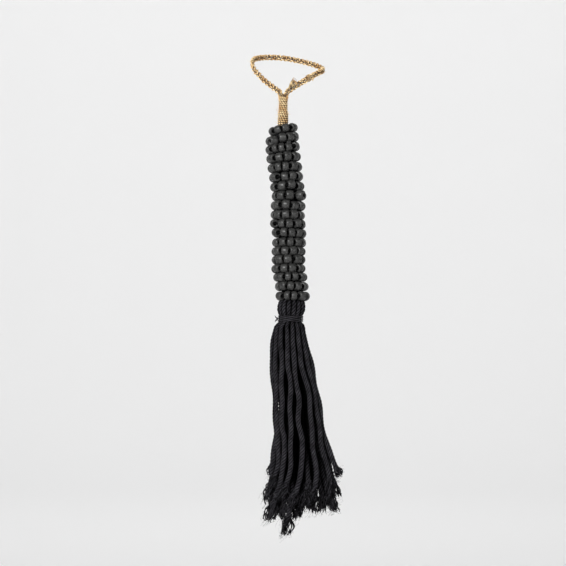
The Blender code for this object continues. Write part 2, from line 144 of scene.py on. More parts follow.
# Whipped neck
NECK_TOP_Z = -37.3 * MM
NECK_BOTTOM_Z = -67.4 * MM
NECK_SECOND_LAYER_Z = -50 * MM  # from here down the twine is wound over a fuller core
NECK_PITCH = 2.3 * MM
NECK_TWINE = 1.17 * MM
NECK_TWINE_LAY = 5.28 * MM  # no even share of a turn, so that its marks are staggered
# Distance of the twine's middle from the neck's: at the top, more at the bottom, more
# where it is wound over the fuller core, and how softly that starts
NECK_OUT_MM = 3.9
NECK_GROWTH_MM = 0.2
SECOND_LAYER_MM = 0.8
SECOND_LAYER_BLEND = 0.6 * MM
NECK_CORE_RADIUS = 3.3 * MM
NECK_CORE_BOTTOM_Z = -69 * MM
NECK_STEPS = 30  # points of a turn
NECK_WOBBLES = 5  # small shifts of a turn
NECK_WOBBLE_MM = 0.16
NECK_LEAD = 4.6 * MM  # how far above the turns the twine crosses over the loop's ends
NECK_LEAD_STEPS = 40

# Stray fibres: how many, and how many of them sit on the loop
JUTE_HAIRS = 420
LOOP_HAIR_SHARE = 0.7
HAIR_RADIUS = 0.055 * MM

# Painted shade where yarns meet: where it starts to lift, over what distance it lifts, and
# how much of the painted light is left where it is darkest. PLAIT and CORD go by how much
# further away the second nearest cord is than the nearest, the others by the distance from
# the middle.
PLAIT_SHADE = (-0.05 * MM, 1.25 * MM, 0.08)
NECK_SHADE = (0.34 * MM, 0.5 * MM)
NECK_UPPER_LEAST = 0.42
NECK_LEAD_LIGHT = 0.9
KNOT_LIGHT = 0.75
CORD_SHADE = (-0.1 * MM, 2.0 * MM)
BINDING_SHADE = (0.1 * MM, 0.5 * MM, 0.25)

# Middle line of the tassel seen from the front: height, sideways place
AXIS_BLEND_MM = 4
AXIS_MM = (
    (-31, -4.0),
    (-68, -4.5),
    (-88, -4.5),
    (-110, -2.3),
    (-130, 0.1),
    (-150, 1.4),
    (-170, 1.8),
    (-190, 2.2),
    (-209, 1.8),
    (-222, 2.2),
    (-237, 4.6),
    (-248, 5.6),
    (-262, 4.6),
    (-277, 3.7),
)

# Rings of beads: height, sideways place, rise to the right, radius of a bead, and how far
# each bead at the front is turned round the tassel, from the left edge to the right one.
# The rest of a ring is filled evenly round the back.
RING_RADIUS = 13.6 * MM
FIRST_RING_RADIUS = 11.4 * MM
RING_COLUMNS = ("z_mm", "x_mm", "rise_deg", "bead_mm", "front_deg")
RINGS = (
    (-68.0, -4.3, 12.0, 4.7, (-74, -27, 12, 60)),
    (-78.2, -5.2, 11.5, 5.0, (-82, -41, 2, 36, 74)),
    (-88.3, -4.5, 8.0, 5.0, (-66, -32, -5, 25, 72)),
    (-98.5, -3.7, 5.5, 5.1, (-58, -18, 16, 56, 92)),
    (-109.1, -2.2, 4.0, 5.2, (-92, -58, -28, 3, 39, 74)),
    (-119.4, -0.9, 4.0, 5.1, (-88, -49, -5, 28, 66)),
    (-129.6, 0.2, 2.0, 5.1, (-62, -22, 17, 60, 94)),
    (-139.6, 2.0, 0.5, 5.2, (-70, -33, 4, 52, 94)),
    (-150.3, 1.2, -1.8, 5.2, (-88, -52, -8, 28, 64)),
    (-160.5, 1.0, -2.0, 5.1, (-80, -44, -9, 26, 66)),
    (-170.2, 2.0, -1.0, 5.0, (-70, -30, 2, 38, 76)),
    (-180.1, 2.9, -1.2, 5.0, (-66, -24, 9, 40, 74)),
    (-190.0, 2.5, 0.3, 4.9, (-61, -27, 4, 37, 73)),
    (-199.5, 1.7, -0.4, 4.9, (-92, -54, -15, 19, 53, 88)),
    (-208.7, 1.6, -0.4, 4.9, (-82, -40, -3, 41, 80)),
    (-218.0, 1.5, 0.4, 4.8, (-92, -57, -17, 17, 57, 92)),
    (-227.3, 3.3, 0.0, 4.9, (-80, -44, -8, 20, 62, 96)),
    (-237.2, 5.2, -1.0, 5.0, (-74, -37, -5, 26, 68)),
    (-247.9, 6.3, -0.5, 5.0, (-66, -22, 5, 42, 80)),
)
BACK_STEP_DEG = 35
BACK_SAG = 1.8 * MM  # how much lower a ring hangs at the back
# Beads that stand askew, by ring and place in its front row: outwards and up in mm, turn
# of their own, size
ASKEW_BEADS = {
    (2, 1): (1.0, -0.8, 62, 1.06),
    (3, 0): (1.3, -0.3, 0, 1.0),
    (3, 2): (0.4, 0.0, 0, 1.05),
    (3, 3): (-0.6, -0.5, 0, 0.88),
    (4, 2): (0.5, 0.3, 4, 1.04),
    (6, 1): (1.2, 0.0, -12, 1.04),
    (7, 0): (0.8, -0.8, 0, 1.0),
    (7, 2): (0.3, 0.8, 0, 1.0),
    (8, 3): (2.2, 0.0, -76, 1.06),
    (9, 2): (0.2, 0.6, 0, 1.04),
    (9, 3): (-0.4, -0.9, 6, 0.96),
    (11, 0): (2.6, 0.2, -12, 1.0),
    (12, 0): (1.8, 0.2, 0, 0.97),
    (15, 1): (0.3, 0.0, 8, 1.03),
    (15, 3): (0.3, 0.0, -8, 1.03),
    (19, 0): (0.9, 0.0, 12, 0.95),
}
CAUGHT_BEAD_MM = (1.7, -9.4, -82.9)  # a small bead caught between the second and third ring
CAUGHT_BEAD_SIZE = (2.4 * MM, 2.7 * MM)
CAUGHT_BEAD_RING = 3
BEAD_HALF_LENGTH = 4.05 * MM
BEAD_HOLE = 2.2 * MM
HOLE_SHARE = BEAD_HOLE / (5 * MM)  # of a usual bead's radius
RIM_SHARE = BEAD_HOLE / (4.6 * MM)  # nearer to the hole's middle than this is its rim
# Half of a bead's outline from its middle to its end: share of its half length and radius
BEAD_OUTLINE = (
    (0.0, 1.0),
    (0.45, 0.985),
    (0.72, 0.935),
    (0.9, 0.86),
    (0.98, 0.76),
    (1.0, 0.64),
)
BEAD_SEGMENTS = 18
# How unlike the beads are: shares of length and girth, places, turn and tilt
LENGTH_SHARES = (0.97, 1.02)
GIRTH_SHARES = (0.98, 1.02)
OUT_SPREAD_MM = 0.25
UP_SPREAD_MM = 0.3
TURN_SPREAD_DEG = 5
TILT_SPREAD_DEG = 6
STRING_RADIUS = 0.9 * MM
# The string's turns between rings, in near-black thread, also fill the gaps there: a dark
# fill that stands for painted shade
STRING_TURN = 11.0 * MM  # radius of the turn that the string takes between two rings

# Cotton cords: core, head and skirt
CORD_PLIES = 4
CORD_LAY = 14.5 * MM
CORD_STEP = 1.3 * MM
CORE_CORDS = 8
CORE_CIRCLE = 5.9 * MM
CORE_CORD_RADIUS = 2.5 * MM
CORE_SWEEP = 260 * MM  # height over which the core turns by a radian
CORE_TOP_Z = -66 * MM
CORE_BOTTOM_Z = -256 * MM
# Outer cords through the head: height, distance from the middle line
HEAD_PATH_MM = (
    (-247.0, 5.2),
    (-252.0, 8.2),
    (-255.4, 11.6),
    (-259.6, 12.7),
    (-264.4, 12.6),
    (-268.0, 11.3),
    (-271.0, 10.2),
)

# Skirt: drop below the binding, left edge, right edge, half of its depth
SKIRT_TOP_Z = -276.3 * MM
SKIRT_SECTIONS_MM = (
    (-4, -8.3, 15.7, 12.0),
    (0, -8.3, 15.7, 12.0),
    (6, -13.6, 18.4, 15.6),
    (22, -16.0, 22.6, 18.0),
    (58, -16.4, 30.6, 20.5),
    (115, -14.6, 38.8, 22.5),
    (160, -17.0, 46.0, 24.0),
    (200, -20.5, 50.5, 25.0),
    (235, -22.5, 52.0, 25.5),
)
CORD_RADIUS = 2.85 * MM  # of a skirt cord that hangs free
CORD_ROOT_RADIUS = 1.95 * MM  # of a cord that the binding squeezes
CORD_SWELL = 30 * MM
CORD_ROOM = 2.04  # least distance between two middle lines, in radii
PUSH_ROUNDS = 90
CORD_ROWS_MM = (-3.5, 0.5, 5, 12, 24, 42, 62, 84, 106, 128, 149, 169, 189, 209, 231)
HELD_ROWS = 2
ROOT_CIRCLES_MM = {"outer": 10.1, "middle": 6.0, "inner": 2.3}
# Cords that show at the front: length below the binding, turn round it, how far their
# place is from the skirt's front towards its middle
FRONT_CORDS = (
    (197, -84, 0.10),
    (186, -60, 0.00),
    (214, -36, 0.00),
    (192, -12, 0.00),
    (200, 12, 0.00),
    (195, 36, 0.00),
    (185, 60, 0.00),
    (166, 84, 0.35),
)
# Their places sideways at the rows above, from the third one down
FRONT_PLACES_MM = (
    (-11.4, -13.2, -15.4, -16.1, -14.6, -13.2, -12.1, -12.0, -14.0, -17.4, -19.6),
    (-9.6, -11.4, -12.4, -12.6, -11.9, -11.4, -10.6, -8.9, -9.4, -13.3, -16.5),
    (-5.9, -6.4, -6.5, -5.7, -5.4, -5.6, -5.2, -3.4, -3.0, -7.0, -12.1, -15.9),
    (0.0, 0.3, 0.2, 1.1, 3.2, 3.8, 3.5, 4.3, 3.8, 1.2, -4.6, -7.0),
    (5.9, 6.3, 6.5, 7.2, 9.7, 12.4, 12.7, 15.7, 16.5, 12.6, 8.1, 7.0),
    (11.3, 11.9, 12.6, 15.1, 19.4, 24.8, 25.4, 27.5, 29.7, 31.3, 28.5, 27.0),
    (15.4, 16.7, 18.2, 22.0, 26.6, 30.8, 34.0, 36.2, 41.0, 46.4, 51.0),
    (17.0, 18.0, 20.9, 25.4, 29.2, 33.6, 36.8, 41.5, 50.0, 58.5),
)
# The others: circle, turn from the front towards the right, length below the binding,
# lean of the end to the right, lean of the end towards the viewer
CORD_COLUMNS = ("circle", "turn_deg", "length_mm", "right_mm", "front_mm")
HIDDEN_CORDS = (
    ("outer", 114, 188, 11.5, 4),
    ("outer", 130, 205, 9.5, 2),
    ("outer", 156, 196, 5.2, -1),
    ("outer", 180, 206, 0, -3),
    ("outer", -156, 199, -2, -1),
    ("outer", -131, 196, -9.4, 1),
    ("outer", -108, 166, -5, 2),
    ("middle", -18, 230, -8.5, 6),
    ("middle", 18, 192, 5, 12),
    ("middle", 54, 206, 10, 2),
    ("middle", 90, 208, 15.5, 2),
    ("middle", 126, 203, 14, 0),
    ("middle", 162, 193, 5, -2),
    ("middle", -162, 201, -3, -2),
    ("middle", -126, 212, -10.5, 0),
    ("middle", -90, 213, -12.5, 2),
    ("middle", -54, 214, -4, 3),
    ("inner", -108, 212, 6, 1),
    ("inner", 0, 197, 4, 11),
    ("inner", 72, 206, 10, 0),
    ("inner", 144, 200, 3.8, -1),
    ("inner", -144, 200, 0, -1),
    ("inner", -72, 213, -3, 1),
)
HELD_BACK = 0.27  # how much flatter the middle and inner circles hang than the skirt
LEAN_FROM = 95 * MM
LEAN_POWER = 1.6
# Length over which the plies of a cord come apart, half of it on a short cord
FRAY_LENGTH = 18 * MM
SHORT_CORD = 172 * MM
# Painted shade inside the skirt: drop, share of the skirt's half depth where a place is
# fully dark, and where it is fully light; SHADE_LEAST is how much of the painted light
# the dark ones keep
SHADE_LEAST = 0.5
SHADED_MM = ((170, 0.5, 0.85), (205, 0.1, 0.45))
SWAY_MM = {"outer": 0.7, "middle": 0.5, "inner": 0.5}
SWAY_FROM = 40 * MM
# Frayed ends: yarns of a ply, where they start inside the cord, points of each, how light
# they are, the drop past which a brush hangs free of the others, and the stray fibres
YARNS_PER_PLY = 8
YARN_RADIUS = 0.56 * MM
YARN_START = 2.5 * MM
YARN_POINTS = 13
YARN_LIGHTS = (0.65, 0.8, 1.0)
FREE_FROM = 190 * MM
FREE_SPAN = 20 * MM
FIBRES_PER_YARN = 3
FIBRE_RADIUS = 0.07 * MM
FUZZ_PER_CORD = 40
FUZZ_RADIUS = 0.05 * MM

# Binding
BINDING_TOP_Z = -269.9 * MM
BINDING_TURNS = 4
BINDING_YARN = 0.8 * MM
BINDING_RADIUS = 13.0 * MM
BINDING_PLIES = 3
BINDING_LAY = 40 * MM
BINDING_STEPS = 48  # points of a turn
BINDING_KNOT = 0.55 * MM  # size of the knot's loops
BINDING_ENDS_MM = ((-1.2, -0.6, 1.2), (-1.9, -1.0, 2.6))


# Lines and yarns

CURVE_POINTS = 12  # fine points between two given ones
SAME_PLACE = 0.0005 * MM


def value_at(table, at, column):
    """Value in a table's column at a place between two rows of its first column."""
    if at <= table[0][0]:
        return table[0][column]
    for low, high in zip(table, table[1:]):
        if at <= high[0]:
            share = (at - low[0]) / (high[0] - low[0])
            return low[column] + (high[column] - low[column]) * share
    return table[-1][column]


def axis_x(z):
    """Sideways place of the tassel's middle line at a height, with its corners eased."""
    rows = [(-height, x) for height, x in AXIS_MM]
    steps = (-AXIS_BLEND_MM, 0, AXIS_BLEND_MM)
    near = [value_at(rows, -z / MM + step, 1) for step in steps]
    return sum(near) / len(near) * MM


def metres(points_mm):
    return [Vector(point) * MM for point in points_mm]


def ramp(value, start, span, least=0.0):
    """Share that rises to 1 as a value goes from start over a span, and is never below
    least."""
    return np.clip((value - start) / span, least, 1)


def smooth_line(points, step):
    """Points step apart on a smooth curve through the given points, as an array."""
    p = np.array([tuple(point) for point in points])
    p = np.vstack([2 * p[0] - p[1], p, 2 * p[-1] - p[-2]])
    t = np.linspace(0, 1, CURVE_POINTS, endpoint=False)[:, None]
    fine = []
    for a, b, c, d in zip(p, p[1:], p[2:], p[3:]):
        curve = 2 * b + (c - a) * t + (2 * a - 5 * b + 4 * c - d) * t**2
        fine.append(0.5 * (curve + (3 * b - 3 * c + d - a) * t**3))
    fine = np.vstack([*fine, p[-2]])
    along = np.concatenate([[0], np.cumsum(np.linalg.norm(np.diff(fine, axis=0), axis=1))])
    places = np.linspace(0, along[-1], max(2, round(along[-1] / step)) + 1)
    return np.stack([np.interp(places, along, fine[:, k]) for k in range(3)], axis=1)


def run_length(line):
    """Length from the start of a line to each of its points."""
    steps = np.linalg.norm(np.diff(line, axis=0), axis=1)
    return np.concatenate([[0], np.cumsum(steps)])


def side_vectors(line):
    """Two directions across a line at each point, turning as little as they can."""
    along = np.gradient(line, axis=0)
    along /= np.linalg.norm(along, axis=1)[:, None]
    start = np.array((0.0, 1.0, 0.0))
    if abs(along[0] @ start) > 0.8:
        start = np.array((1.0, 0.0, 0.0))
    sides = []
    for direction in along:
        start = start - direction * (start @ direction)
        start /= np.linalg.norm(start)
        sides.append(start)
    sides = np.array(sides)
    return sides, np.cross(along, sides)


def twisted(line, plies, radius, lay, turn=0.0, opening=None):
    """Runs of plies laid round a line, each with that line and its distance from it, from
    which tubes() works out the painted shade between the plies. opening is how far the
    plies stand apart, 0 where they touch."""
    radius = np.broadcast_to(radius, len(line))
    opening = np.zeros(len(line)) if opening is None else opening
    circle = 1 / math.sin(math.pi / plies)
    ply = radius / (1 + circle)
    first, second = side_vectors(line)
    phase = turn + 2 * math.pi * run_length(line) / lay
    runs = []
    for k in range(plies):
        angle = (phase + 2 * math.pi * k / plies)[:, None]
        out = (ply * circle * (1 + opening))[:, None]
        points = line + out * (first * np.cos(angle) + second * np.sin(angle))
        runs.append((points, ply * (1 - 0.25 * opening), line, out[:, 0]))
    return runs


def tubes(name, runs, sides=6, shade=None):
    """Piece made of a round yarn along each run. Its attribute of painted light and shade
    is
    1 on the outside of a ply, 0.5 at its side and 0 where it faces the middle of its cord,
    times the run's own lightness, if it has one, and the painted shade that shade gives for
    the places."""
    curve = bpy.data.curves.new(name + "_lines", "CURVE")
    curve.dimensions = "3D"
    curve.bevel_depth = MM
    curve.bevel_resolution = (sides - 4) // 2
    curve.use_fill_caps = True
    finder = KDTree(sum(len(run[0]) for run in runs))
    axes, ways, outs, thick, lights = [], [], [], [], []
    for points, radii, *cord in runs:
        spline = curve.splines.new("POLY")
        spline.points.add(len(points) - 1)
        spline.points.foreach_set("co", np.c_[points, np.ones(len(points))].ravel())
        thickness = np.broadcast_to(radii, len(points)) / MM
        spline.points.foreach_set("radius", thickness.astype(float).ravel())
        for k, point in enumerate(points):
            finder.insert(point, len(outs) + k)
        axis, out, light = (*(cord or (points, 0)), 1.0)[:3]
        axes.append(axis)
        ways.append(np.gradient(axis, axis=0))
        outs += list(np.broadcast_to(out, len(points)))
        thick += list(np.broadcast_to(radii, len(points)))
        lights += [light] * len(points)
    finder.balance()
    carrier = bpy.data.objects.new(name + "_carrier", curve)
    mesh = bpy.data.meshes.new_from_object(carrier)
    bpy.data.objects.remove(carrier)
    bpy.data.curves.remove(curve)
    bm = bmesh.new()
    bm.from_mesh(mesh)
    bmesh.ops.remove_doubles(bm, verts=bm.verts, dist=SAME_PLACE)
    bm.to_mesh(mesh)
    bm.free()
    places = np.array([tuple(vert.co) for vert in mesh.vertices])
    near = np.array([finder.find(vert.co)[1] for vert in mesh.vertices])
    axis, way = np.vstack(axes)[near], np.vstack(ways)[near]
    out, ply = np.array(outs)[near], np.array(thick)[near]
    away = places - axis
    length = np.maximum((way * way).sum(axis=1), 1e-14)
    away -= way * ((away * way).sum(axis=1) / length)[:, None]
    turned = (away * away).sum(axis=1) - out**2 - ply**2
    turned = turned / np.maximum(2 * out * ply, 1e-12)
    # Painted shade: low where a ply faces the middle of its cord, and darker still where
    # shade says so
    proud = np.where(out > 0, np.clip((1 + turned) / 2, 0, 1), 1.0)
    proud *= np.array(lights)[near]
    if shade:
        proud = proud * shade(places)
    mesh.attributes.new("proud", "FLOAT", "POINT").data.foreach_set("value", proud)
    return piece(name, mesh)


def piece(name, mesh):
    """Object for a mesh whose place is in the mesh, riding on the tassel."""
    mesh.name = name
    mesh.shade_smooth()
    made = bpy.data.objects.new(name, mesh)
    bpy.context.scene.collection.objects.link(made)
    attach(made, "root")
    return made


# Materials

# Fibres of jute and cotton are some 0.02 mm thick, too fine to show, so they are drawn as
# streaks 0.4 mm wide and 3.6 mm long: how many of these go into a millimetre along a ply
# and across it
STREAKS_PER_MM = (0.28, 2.6)
STREAK_SLANT_DEG = 24
# The pores and flecks of beech are 0.1 mm wide and up to 4 mm long. They are drawn 0.8 mm
# wide, so that they show.
BEECH_GRAIN = (4 * MM, 0.8 * MM)
BEECH_BLOTCH = 3.2 * MM


def colour(hex_value):
    """Linear colour of an sRGB hex value."""
    parts = [int(hex_value[k : k + 2], 16) / 255 for k in (1, 3, 5)]
    linear = [p / 12.92 if p <= 0.04045 else ((p + 0.055) / 1.055) ** 2.4 for p in parts]
    return (*linear, 1.0)


def node(tree, kind, values=None, links=None, **settings):
    """New shader node with its properties, its inputs' values and their links."""
    made = tree.nodes.new("ShaderNode" + kind)
    for key, value in settings.items():
        setattr(made, key, value)
    for key, value in (values or {}).items():
        made.inputs[key].default_value = value
    for key, socket in (links or {}).items():
        tree.links.new(socket, made.inputs[key])
    return made


def blank_material(name, **finish):
    material = bpy.data.materials.new(name)
    material.use_nodes = True
    shader = material.node_tree.nodes["Principled BSDF"]
    for key, value in finish.items():
        shader.inputs[key.replace("_", " ")].default_value = value
    return material, material.node_tree, shader


def spun_fibre(
    name, deep, dark, light, run_mm, girth_mm, low, high, patch_mm=7, even=0.12, **finish
):
    """Spun yarn: fibres wind round each ply, so streaks run along it at a slant, the colour
    is uneven over some millimetres, and painted shade turns it deep between the plies.
    run_mm and girth_mm are the length and the girth that the UV map spans, low and high
    the values of the painted shade attribute where the colour is deepest and where it is
    full, patch_mm the size of the uneven patches, and even how little dark and light stand
    apart; deep is the colour of the painted shade."""
    material, tree, shader = blank_material(name, **finish)
    place = node(tree, "TexCoord")
    slant = math.radians(STREAK_SLANT_DEG)
    real = node(
        tree,
        "Mapping",
        {"Scale": (run_mm, girth_mm, 1), "Rotation": (0, 0, slant)},
        {"Vector": place.outputs["UV"]},
    )
    drawn = node(
        tree,
        "Mapping",
        {"Scale": (*STREAKS_PER_MM, 1)},
        {"Vector": real.outputs[0]},
    )
    streaks = node(
        tree,
        "TexNoise",
        {"Scale": 1.0, "Detail": 4.0, "Roughness": 0.65},
        {"Vector": drawn.outputs[0]},
    )
    patches = node(
        tree,
        "TexNoise",
        {"Scale": 1 / (patch_mm * MM), "Detail": 4.0, "Roughness": 0.6},
        {"Vector": place.outputs["Object"]},
    )
    both = node(
        tree,
        "Math",
        {1: 0.5},
        {0: streaks.outputs["Fac"]},
        operation="MULTIPLY",
    )
    summed = node(
        tree,
        "Math",
        {1: 0.5},
        {0: patches.outputs["Fac"], 2: both.outputs[0]},
        operation="MULTIPLY_ADD",
    )
    shade = node(
        tree,
        "MapRange",
        {"From Min": 0.5 - even, "From Max": 0.5 + even},
        {"Value": summed.outputs[0]},
    )
    yarn = node(
        tree,
        "Mix",
        {"A": colour(dark), "B": colour(light)},
        {"Factor": shade.outputs[0]},
        data_type="RGBA",
    )
    # Painted shade: the colour goes to deep where this attribute is low, between plies and
    # cords
    proud = node(tree, "Attribute", attribute_name="proud")
    fall = node(
        tree,
        "MapRange",
        {"From Min": low, "From Max": high},
        {"Value": proud.outputs["Fac"]},
        interpolation_type="SMOOTHSTEP",
    )
    mixed = node(
        tree,
        "Mix",
        {"A": colour(deep)},
        {"Factor": fall.outputs[0], "B": yarn.outputs["Result"]},
        data_type="RGBA",
    )
    tree.links.new(mixed.outputs["Result"], shader.inputs["Base Color"])
    bump = node(
        tree,
        "Bump",
        {"Strength": 0.7, "Distance": 0.15 * MM},
        {"Height": streaks.outputs["Fac"]},
    )
    tree.links.new(bump.outputs[0], shader.inputs["Normal"])
    return material


def stained_beech():
    """Turned beech under black stain and a thin satin varnish: dark grey with soft broad
    highlights, faint grain along the bead's own length, and nearly black round the hole,
    partly stain that has gathered there and partly painted shade in the hole."""
    material, tree, shader = blank_material(
        "black_stained_beech", IOR=1.5, Specular_IOR_Level=0.32
    )
    place = node(tree, "Attribute", attribute_name="bead_place")
    drawn = node(
        tree,
        "Mapping",
        {"Scale": (1 / BEECH_GRAIN[0], 1 / BEECH_GRAIN[1], 1 / BEECH_GRAIN[1])},
        {"Vector": place.outputs["Vector"]},
    )
    grain = node(
        tree,
        "TexNoise",
        {"Scale": 1.0, "Detail": 5.0, "Roughness": 0.7},
        {"Vector": drawn.outputs[0]},
    )
    blotches = node(
        tree,
        "TexNoise",
        {"Scale": 1 / BEECH_BLOTCH, "Detail": 3.0, "Roughness": 0.6},
        {"Vector": place.outputs["Vector"]},
    )
    shade = node(
        tree,
        "Math",
        {},
        {0: grain.outputs["Fac"], 1: blotches.outputs["Fac"]},
        operation="MULTIPLY",
    )
    spread = node(
        tree,
        "MapRange",
        {"From Min": 0.14, "From Max": 0.36},
        {"Value": shade.outputs[0]},
    )
    body = node(
        tree,
        "Mix",
        {"A": colour("#1c1c1c"), "B": colour("#3e3e3d")},
        {"Factor": spread.outputs[0]},
        data_type="RGBA",
    )
    # Painted shade in the hole, with stain gathered there: near black where bead_end is 1
    rim = node(tree, "Attribute", attribute_name="bead_end")
    near = node(
        tree,
        "MapRange",
        {"From Min": 0.35, "From Max": 1.0},
        {"Value": rim.outputs["Fac"]},
        interpolation_type="SMOOTHSTEP",
    )
    mixed = node(
        tree,
        "Mix",
        {"B": colour("#0b0b0b")},
        {"Factor": near.outputs[0], "A": body.outputs["Result"]},
        data_type="RGBA",
    )
    tree.links.new(mixed.outputs["Result"], shader.inputs["Base Color"])
    gloss = node(
        tree,
        "MapRange",
        {"To Min": 0.26, "To Max": 0.46},
        {"Value": blotches.outputs["Fac"]},
    )
    tree.links.new(gloss.outputs[0], shader.inputs["Roughness"])
    bump = node(
        tree,
        "Bump",
        {"Strength": 0.35, "Distance": 0.12 * MM},
        {"Height": grain.outputs["Fac"]},
    )
    tree.links.new(bump.outputs[0], shader.inputs["Normal"])
    return material


def dress(made, material, slot, *nodes):
    """Gives a piece its material and hides the solids that it stands for; slot is not used.
    """
    made.data.materials.clear()
    made.data.materials.append(material)
    if nodes:
        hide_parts(*nodes)
    return made


# Jute twine, two plies spun from bast fibre and neither bleached nor oiled: golden straw
# with pale streaks, dry and matt but for a faint silky sheen, and a painted shade of brown
# where it lies deep
JUTE = spun_fibre(
    "jute_twine",
    deep="#3a200a",
    dark="#c8975a",
    light="#ffe4b0",
    run_mm=230,
    girth_mm=5,
    low=0.2,
    high=0.68,
    even=0.075,
    Roughness=0.85,
    Specular_IOR_Level=0.3,
    Sheen_Weight=0.1,
)
# Cotton cord, four plies laid together and dyed black: soft grey on the round of each
# ply, a painted shade of black in the grooves, and no gloss
COTTON = spun_fibre(
    "dyed_cotton_cord",
    deep="#010101",
    dark="#19181b",
    light="#3f3e42",
    run_mm=230,
    girth_mm=7,
    low=0.55,
    high=0.97,
    Roughness=0.95,
    Specular_IOR_Level=0.04,
)
# Mercerised cotton yarn, dyed black and wound tight: lighter than the cord, with a little
# gloss along each turn and painted shade between its plies and turns
YARN = spun_fibre(
    "dyed_cotton_yarn",
    deep="#060506",
    dark="#232225",
    light="#525156",
    run_mm=340,
    girth_mm=3,
    low=0.4,
    high=0.9,
    Roughness=0.9,
    Specular_IOR_Level=0.08,
)
# The same cotton with its twist undone: the cord's black and grey, broken up yarn by
# yarn, with painted shade deep inside the skirt
FRAY = spun_fibre(
    "undone_cotton_yarn",
    deep="#020202",
    dark="#19181b",
    light="#434246",
    run_mm=20,
    girth_mm=4,
    low=0.35,
    high=0.95,
    patch_mm=1.6,
    even=0.09,
    Roughness=0.95,
    Specular_IOR_Level=0.04,
)
# Waxed linen thread, dyed black: nearly black, darker than such thread is, so that it
# reads as painted shade in the beads' holes and in the gaps between the rings
THREAD = spun_fibre(
    "waxed_black_thread",
    deep="#010101",
    dark="#060606",
    light="#0f0f10",
    run_mm=340,
    girth_mm=3,
    low=0.4,
    high=0.9,
    Roughness=0.8,
    Specular_IOR_Level=0.05,
)
BEECH = stained_beech()


# Camera and light


def add_camera():
    camera = bpy.data.cameras.new("camera")
    camera.sensor_width = SENSOR_MM
    frame_width = PHOTO_PIXELS * PIXEL
    camera.lens = SENSOR_MM * CAMERA_DISTANCE / frame_width
    made = bpy.data.objects.new("camera", camera)
    x, z = PHOTO_CENTRE
    made.location = (x, SEAT_Y - CAMERA_DISTANCE, z)
    made.rotation_euler = (math.radians(90), 0, 0)
    bpy.context.scene.collection.objects.link(made)
    bpy.context.scene.camera = made


def add_light(name, place, aim, size, power):
    light = bpy.data.lights.new(name, "AREA")
    light.shape = "DISK"
    light.size = size
    light.energy = power
    made = bpy.data.objects.new(name, light)
    made.location = place
    made.rotation_euler = (Vector(aim) - Vector(place)).to_track_quat("-Z", "Y").to_euler()
    made.visible_camera = False
    bpy.context.scene.collection.objects.link(made)


def add_studio():
    """Pale floor that sweeps up into a round wall, soft light from the front."""
    bm = bmesh.new()
    profile = [(0.0, FLOOR_Z), (FLOOR_RADIUS, FLOOR_Z)]
    for k in range(1, SWEEP_STEPS + 1):
        angle = math.radians(90 * k / SWEEP_STEPS)
        x = FLOOR_RADIUS + SWEEP_RADIUS * math.sin(angle)
        profile.append((x, FLOOR_Z + SWEEP_RADIUS * (1 - math.cos(angle))))
    profile.append((FLOOR_RADIUS + SWEEP_RADIUS, WALL_TOP_Z))
    verts = [bm.verts.new((x, 0, z)) for x, z in profile]
    edges = [bm.edges.new(pair) for pair in zip(verts, verts[1:])]
    bmesh.ops.spin(
        bm,
        geom=verts + edges,
        axis=(0, 0, 1),
        cent=(0, 0, 0),
        steps=WALL_STEPS,
        angle=2 * math.pi,
        use_merge=True,
    )
    bmesh.ops.remove_doubles(bm, verts=bm.verts, dist=0.1 * MM)
    bmesh.ops.recalc_face_normals(bm, faces=bm.faces)
    mesh = bpy.data.meshes.new("studio")
    bm.to_mesh(mesh)
    bm.free()
    mesh.shade_smooth()
    sweep = bpy.data.objects.new("studio", mesh)
    bpy.context.scene.collection.objects.link(sweep)
    paint, _, shader = blank_material("matt_white_paint", Roughness=0.9)
    shader.inputs["Base Color"].default_value = colour("#f1f1f1")
    mesh.materials.append(paint)
    world = bpy.data.worlds.new("studio_air")
    world.use_nodes = True
    air = world.node_tree.nodes["Background"]
    air.inputs["Color"].default_value = colour("#ffffff")
    air.inputs["Strength"].default_value = AIR_STRENGTH
    bpy.context.scene.world = world
    for name, place, aim, size, power in LIGHTS:
        add_light(name, place, aim, size, power)
    bpy.context.scene.view_settings.view_transform = "Standard"


# Jute


def loop_frames(line):
    """Directions across the plait and away from the loop's middle at each of its points."""
    along = np.gradient(line, axis=0)
    along[0] = (0, 0, 1)
    along[-1] = (0, 0, -1)
    along /= np.linalg.norm(along, axis=1)[:, None]
    outward = line * np.array((1, LOOP_FLATNESS, 0))
    outward /= np.linalg.norm(outward, axis=1)[:, None]
    across = np.cross(along, outward)
    across /= np.linalg.norm(across, axis=1)[:, None]
    return across, np.cross(across, along)


def jute_loop():
    """Three two-ply twines plaited into a loop, with both ends in the neck."""
    line = smooth_line(metres(LOOP_ROUTE_MM), PLAIT_STEP)
    run = run_length(line)
    across, outward = loop_frames(line)
    from_end = np.minimum(run, run[-1] - run)
    open_part = np.minimum(1, from_end / PLAIT_END_LENGTH)
    share = PLAIT_END_SHARE + (1 - PLAIT_END_SHARE) * open_part
    sway = (PLAIT_WIDTH / 2 - PLAIT_TWINE) * share
    lift = PLAIT_THICKNESS / 2 - PLAIT_TWINE
    runs, trees = [], []
    for k in range(3):
        phase = 2 * math.pi * (run / PLAIT_LAY + k / 3)
        twine = (
            line
            + across * (sway * np.sin(phase))[:, None]
            + outward * (lift * np.sin(2 * phase))[:, None]
        )
        runs += twisted(twine, JUTE_PLIES, PLAIT_TWINE, PLAIT_TWINE_LAY, turn=k)
        trees.append(KDTree(len(twine)))
        for number, point in enumerate(twine):
            trees[-1].insert(point, number)
        trees[-1].balance()

    def shade(places):
        """Painted shade where two twines meet."""
        away = [[tree.find(place)[2] for place in places] for tree in trees]
        away = np.sort(away, axis=0)
        return ramp(away[1] - away[0], *PLAIT_SHADE)

    made = dress(tubes("jute_loop", runs, shade=shade), JUTE, "jute", "loop_cord")
    return made, line, across, outward


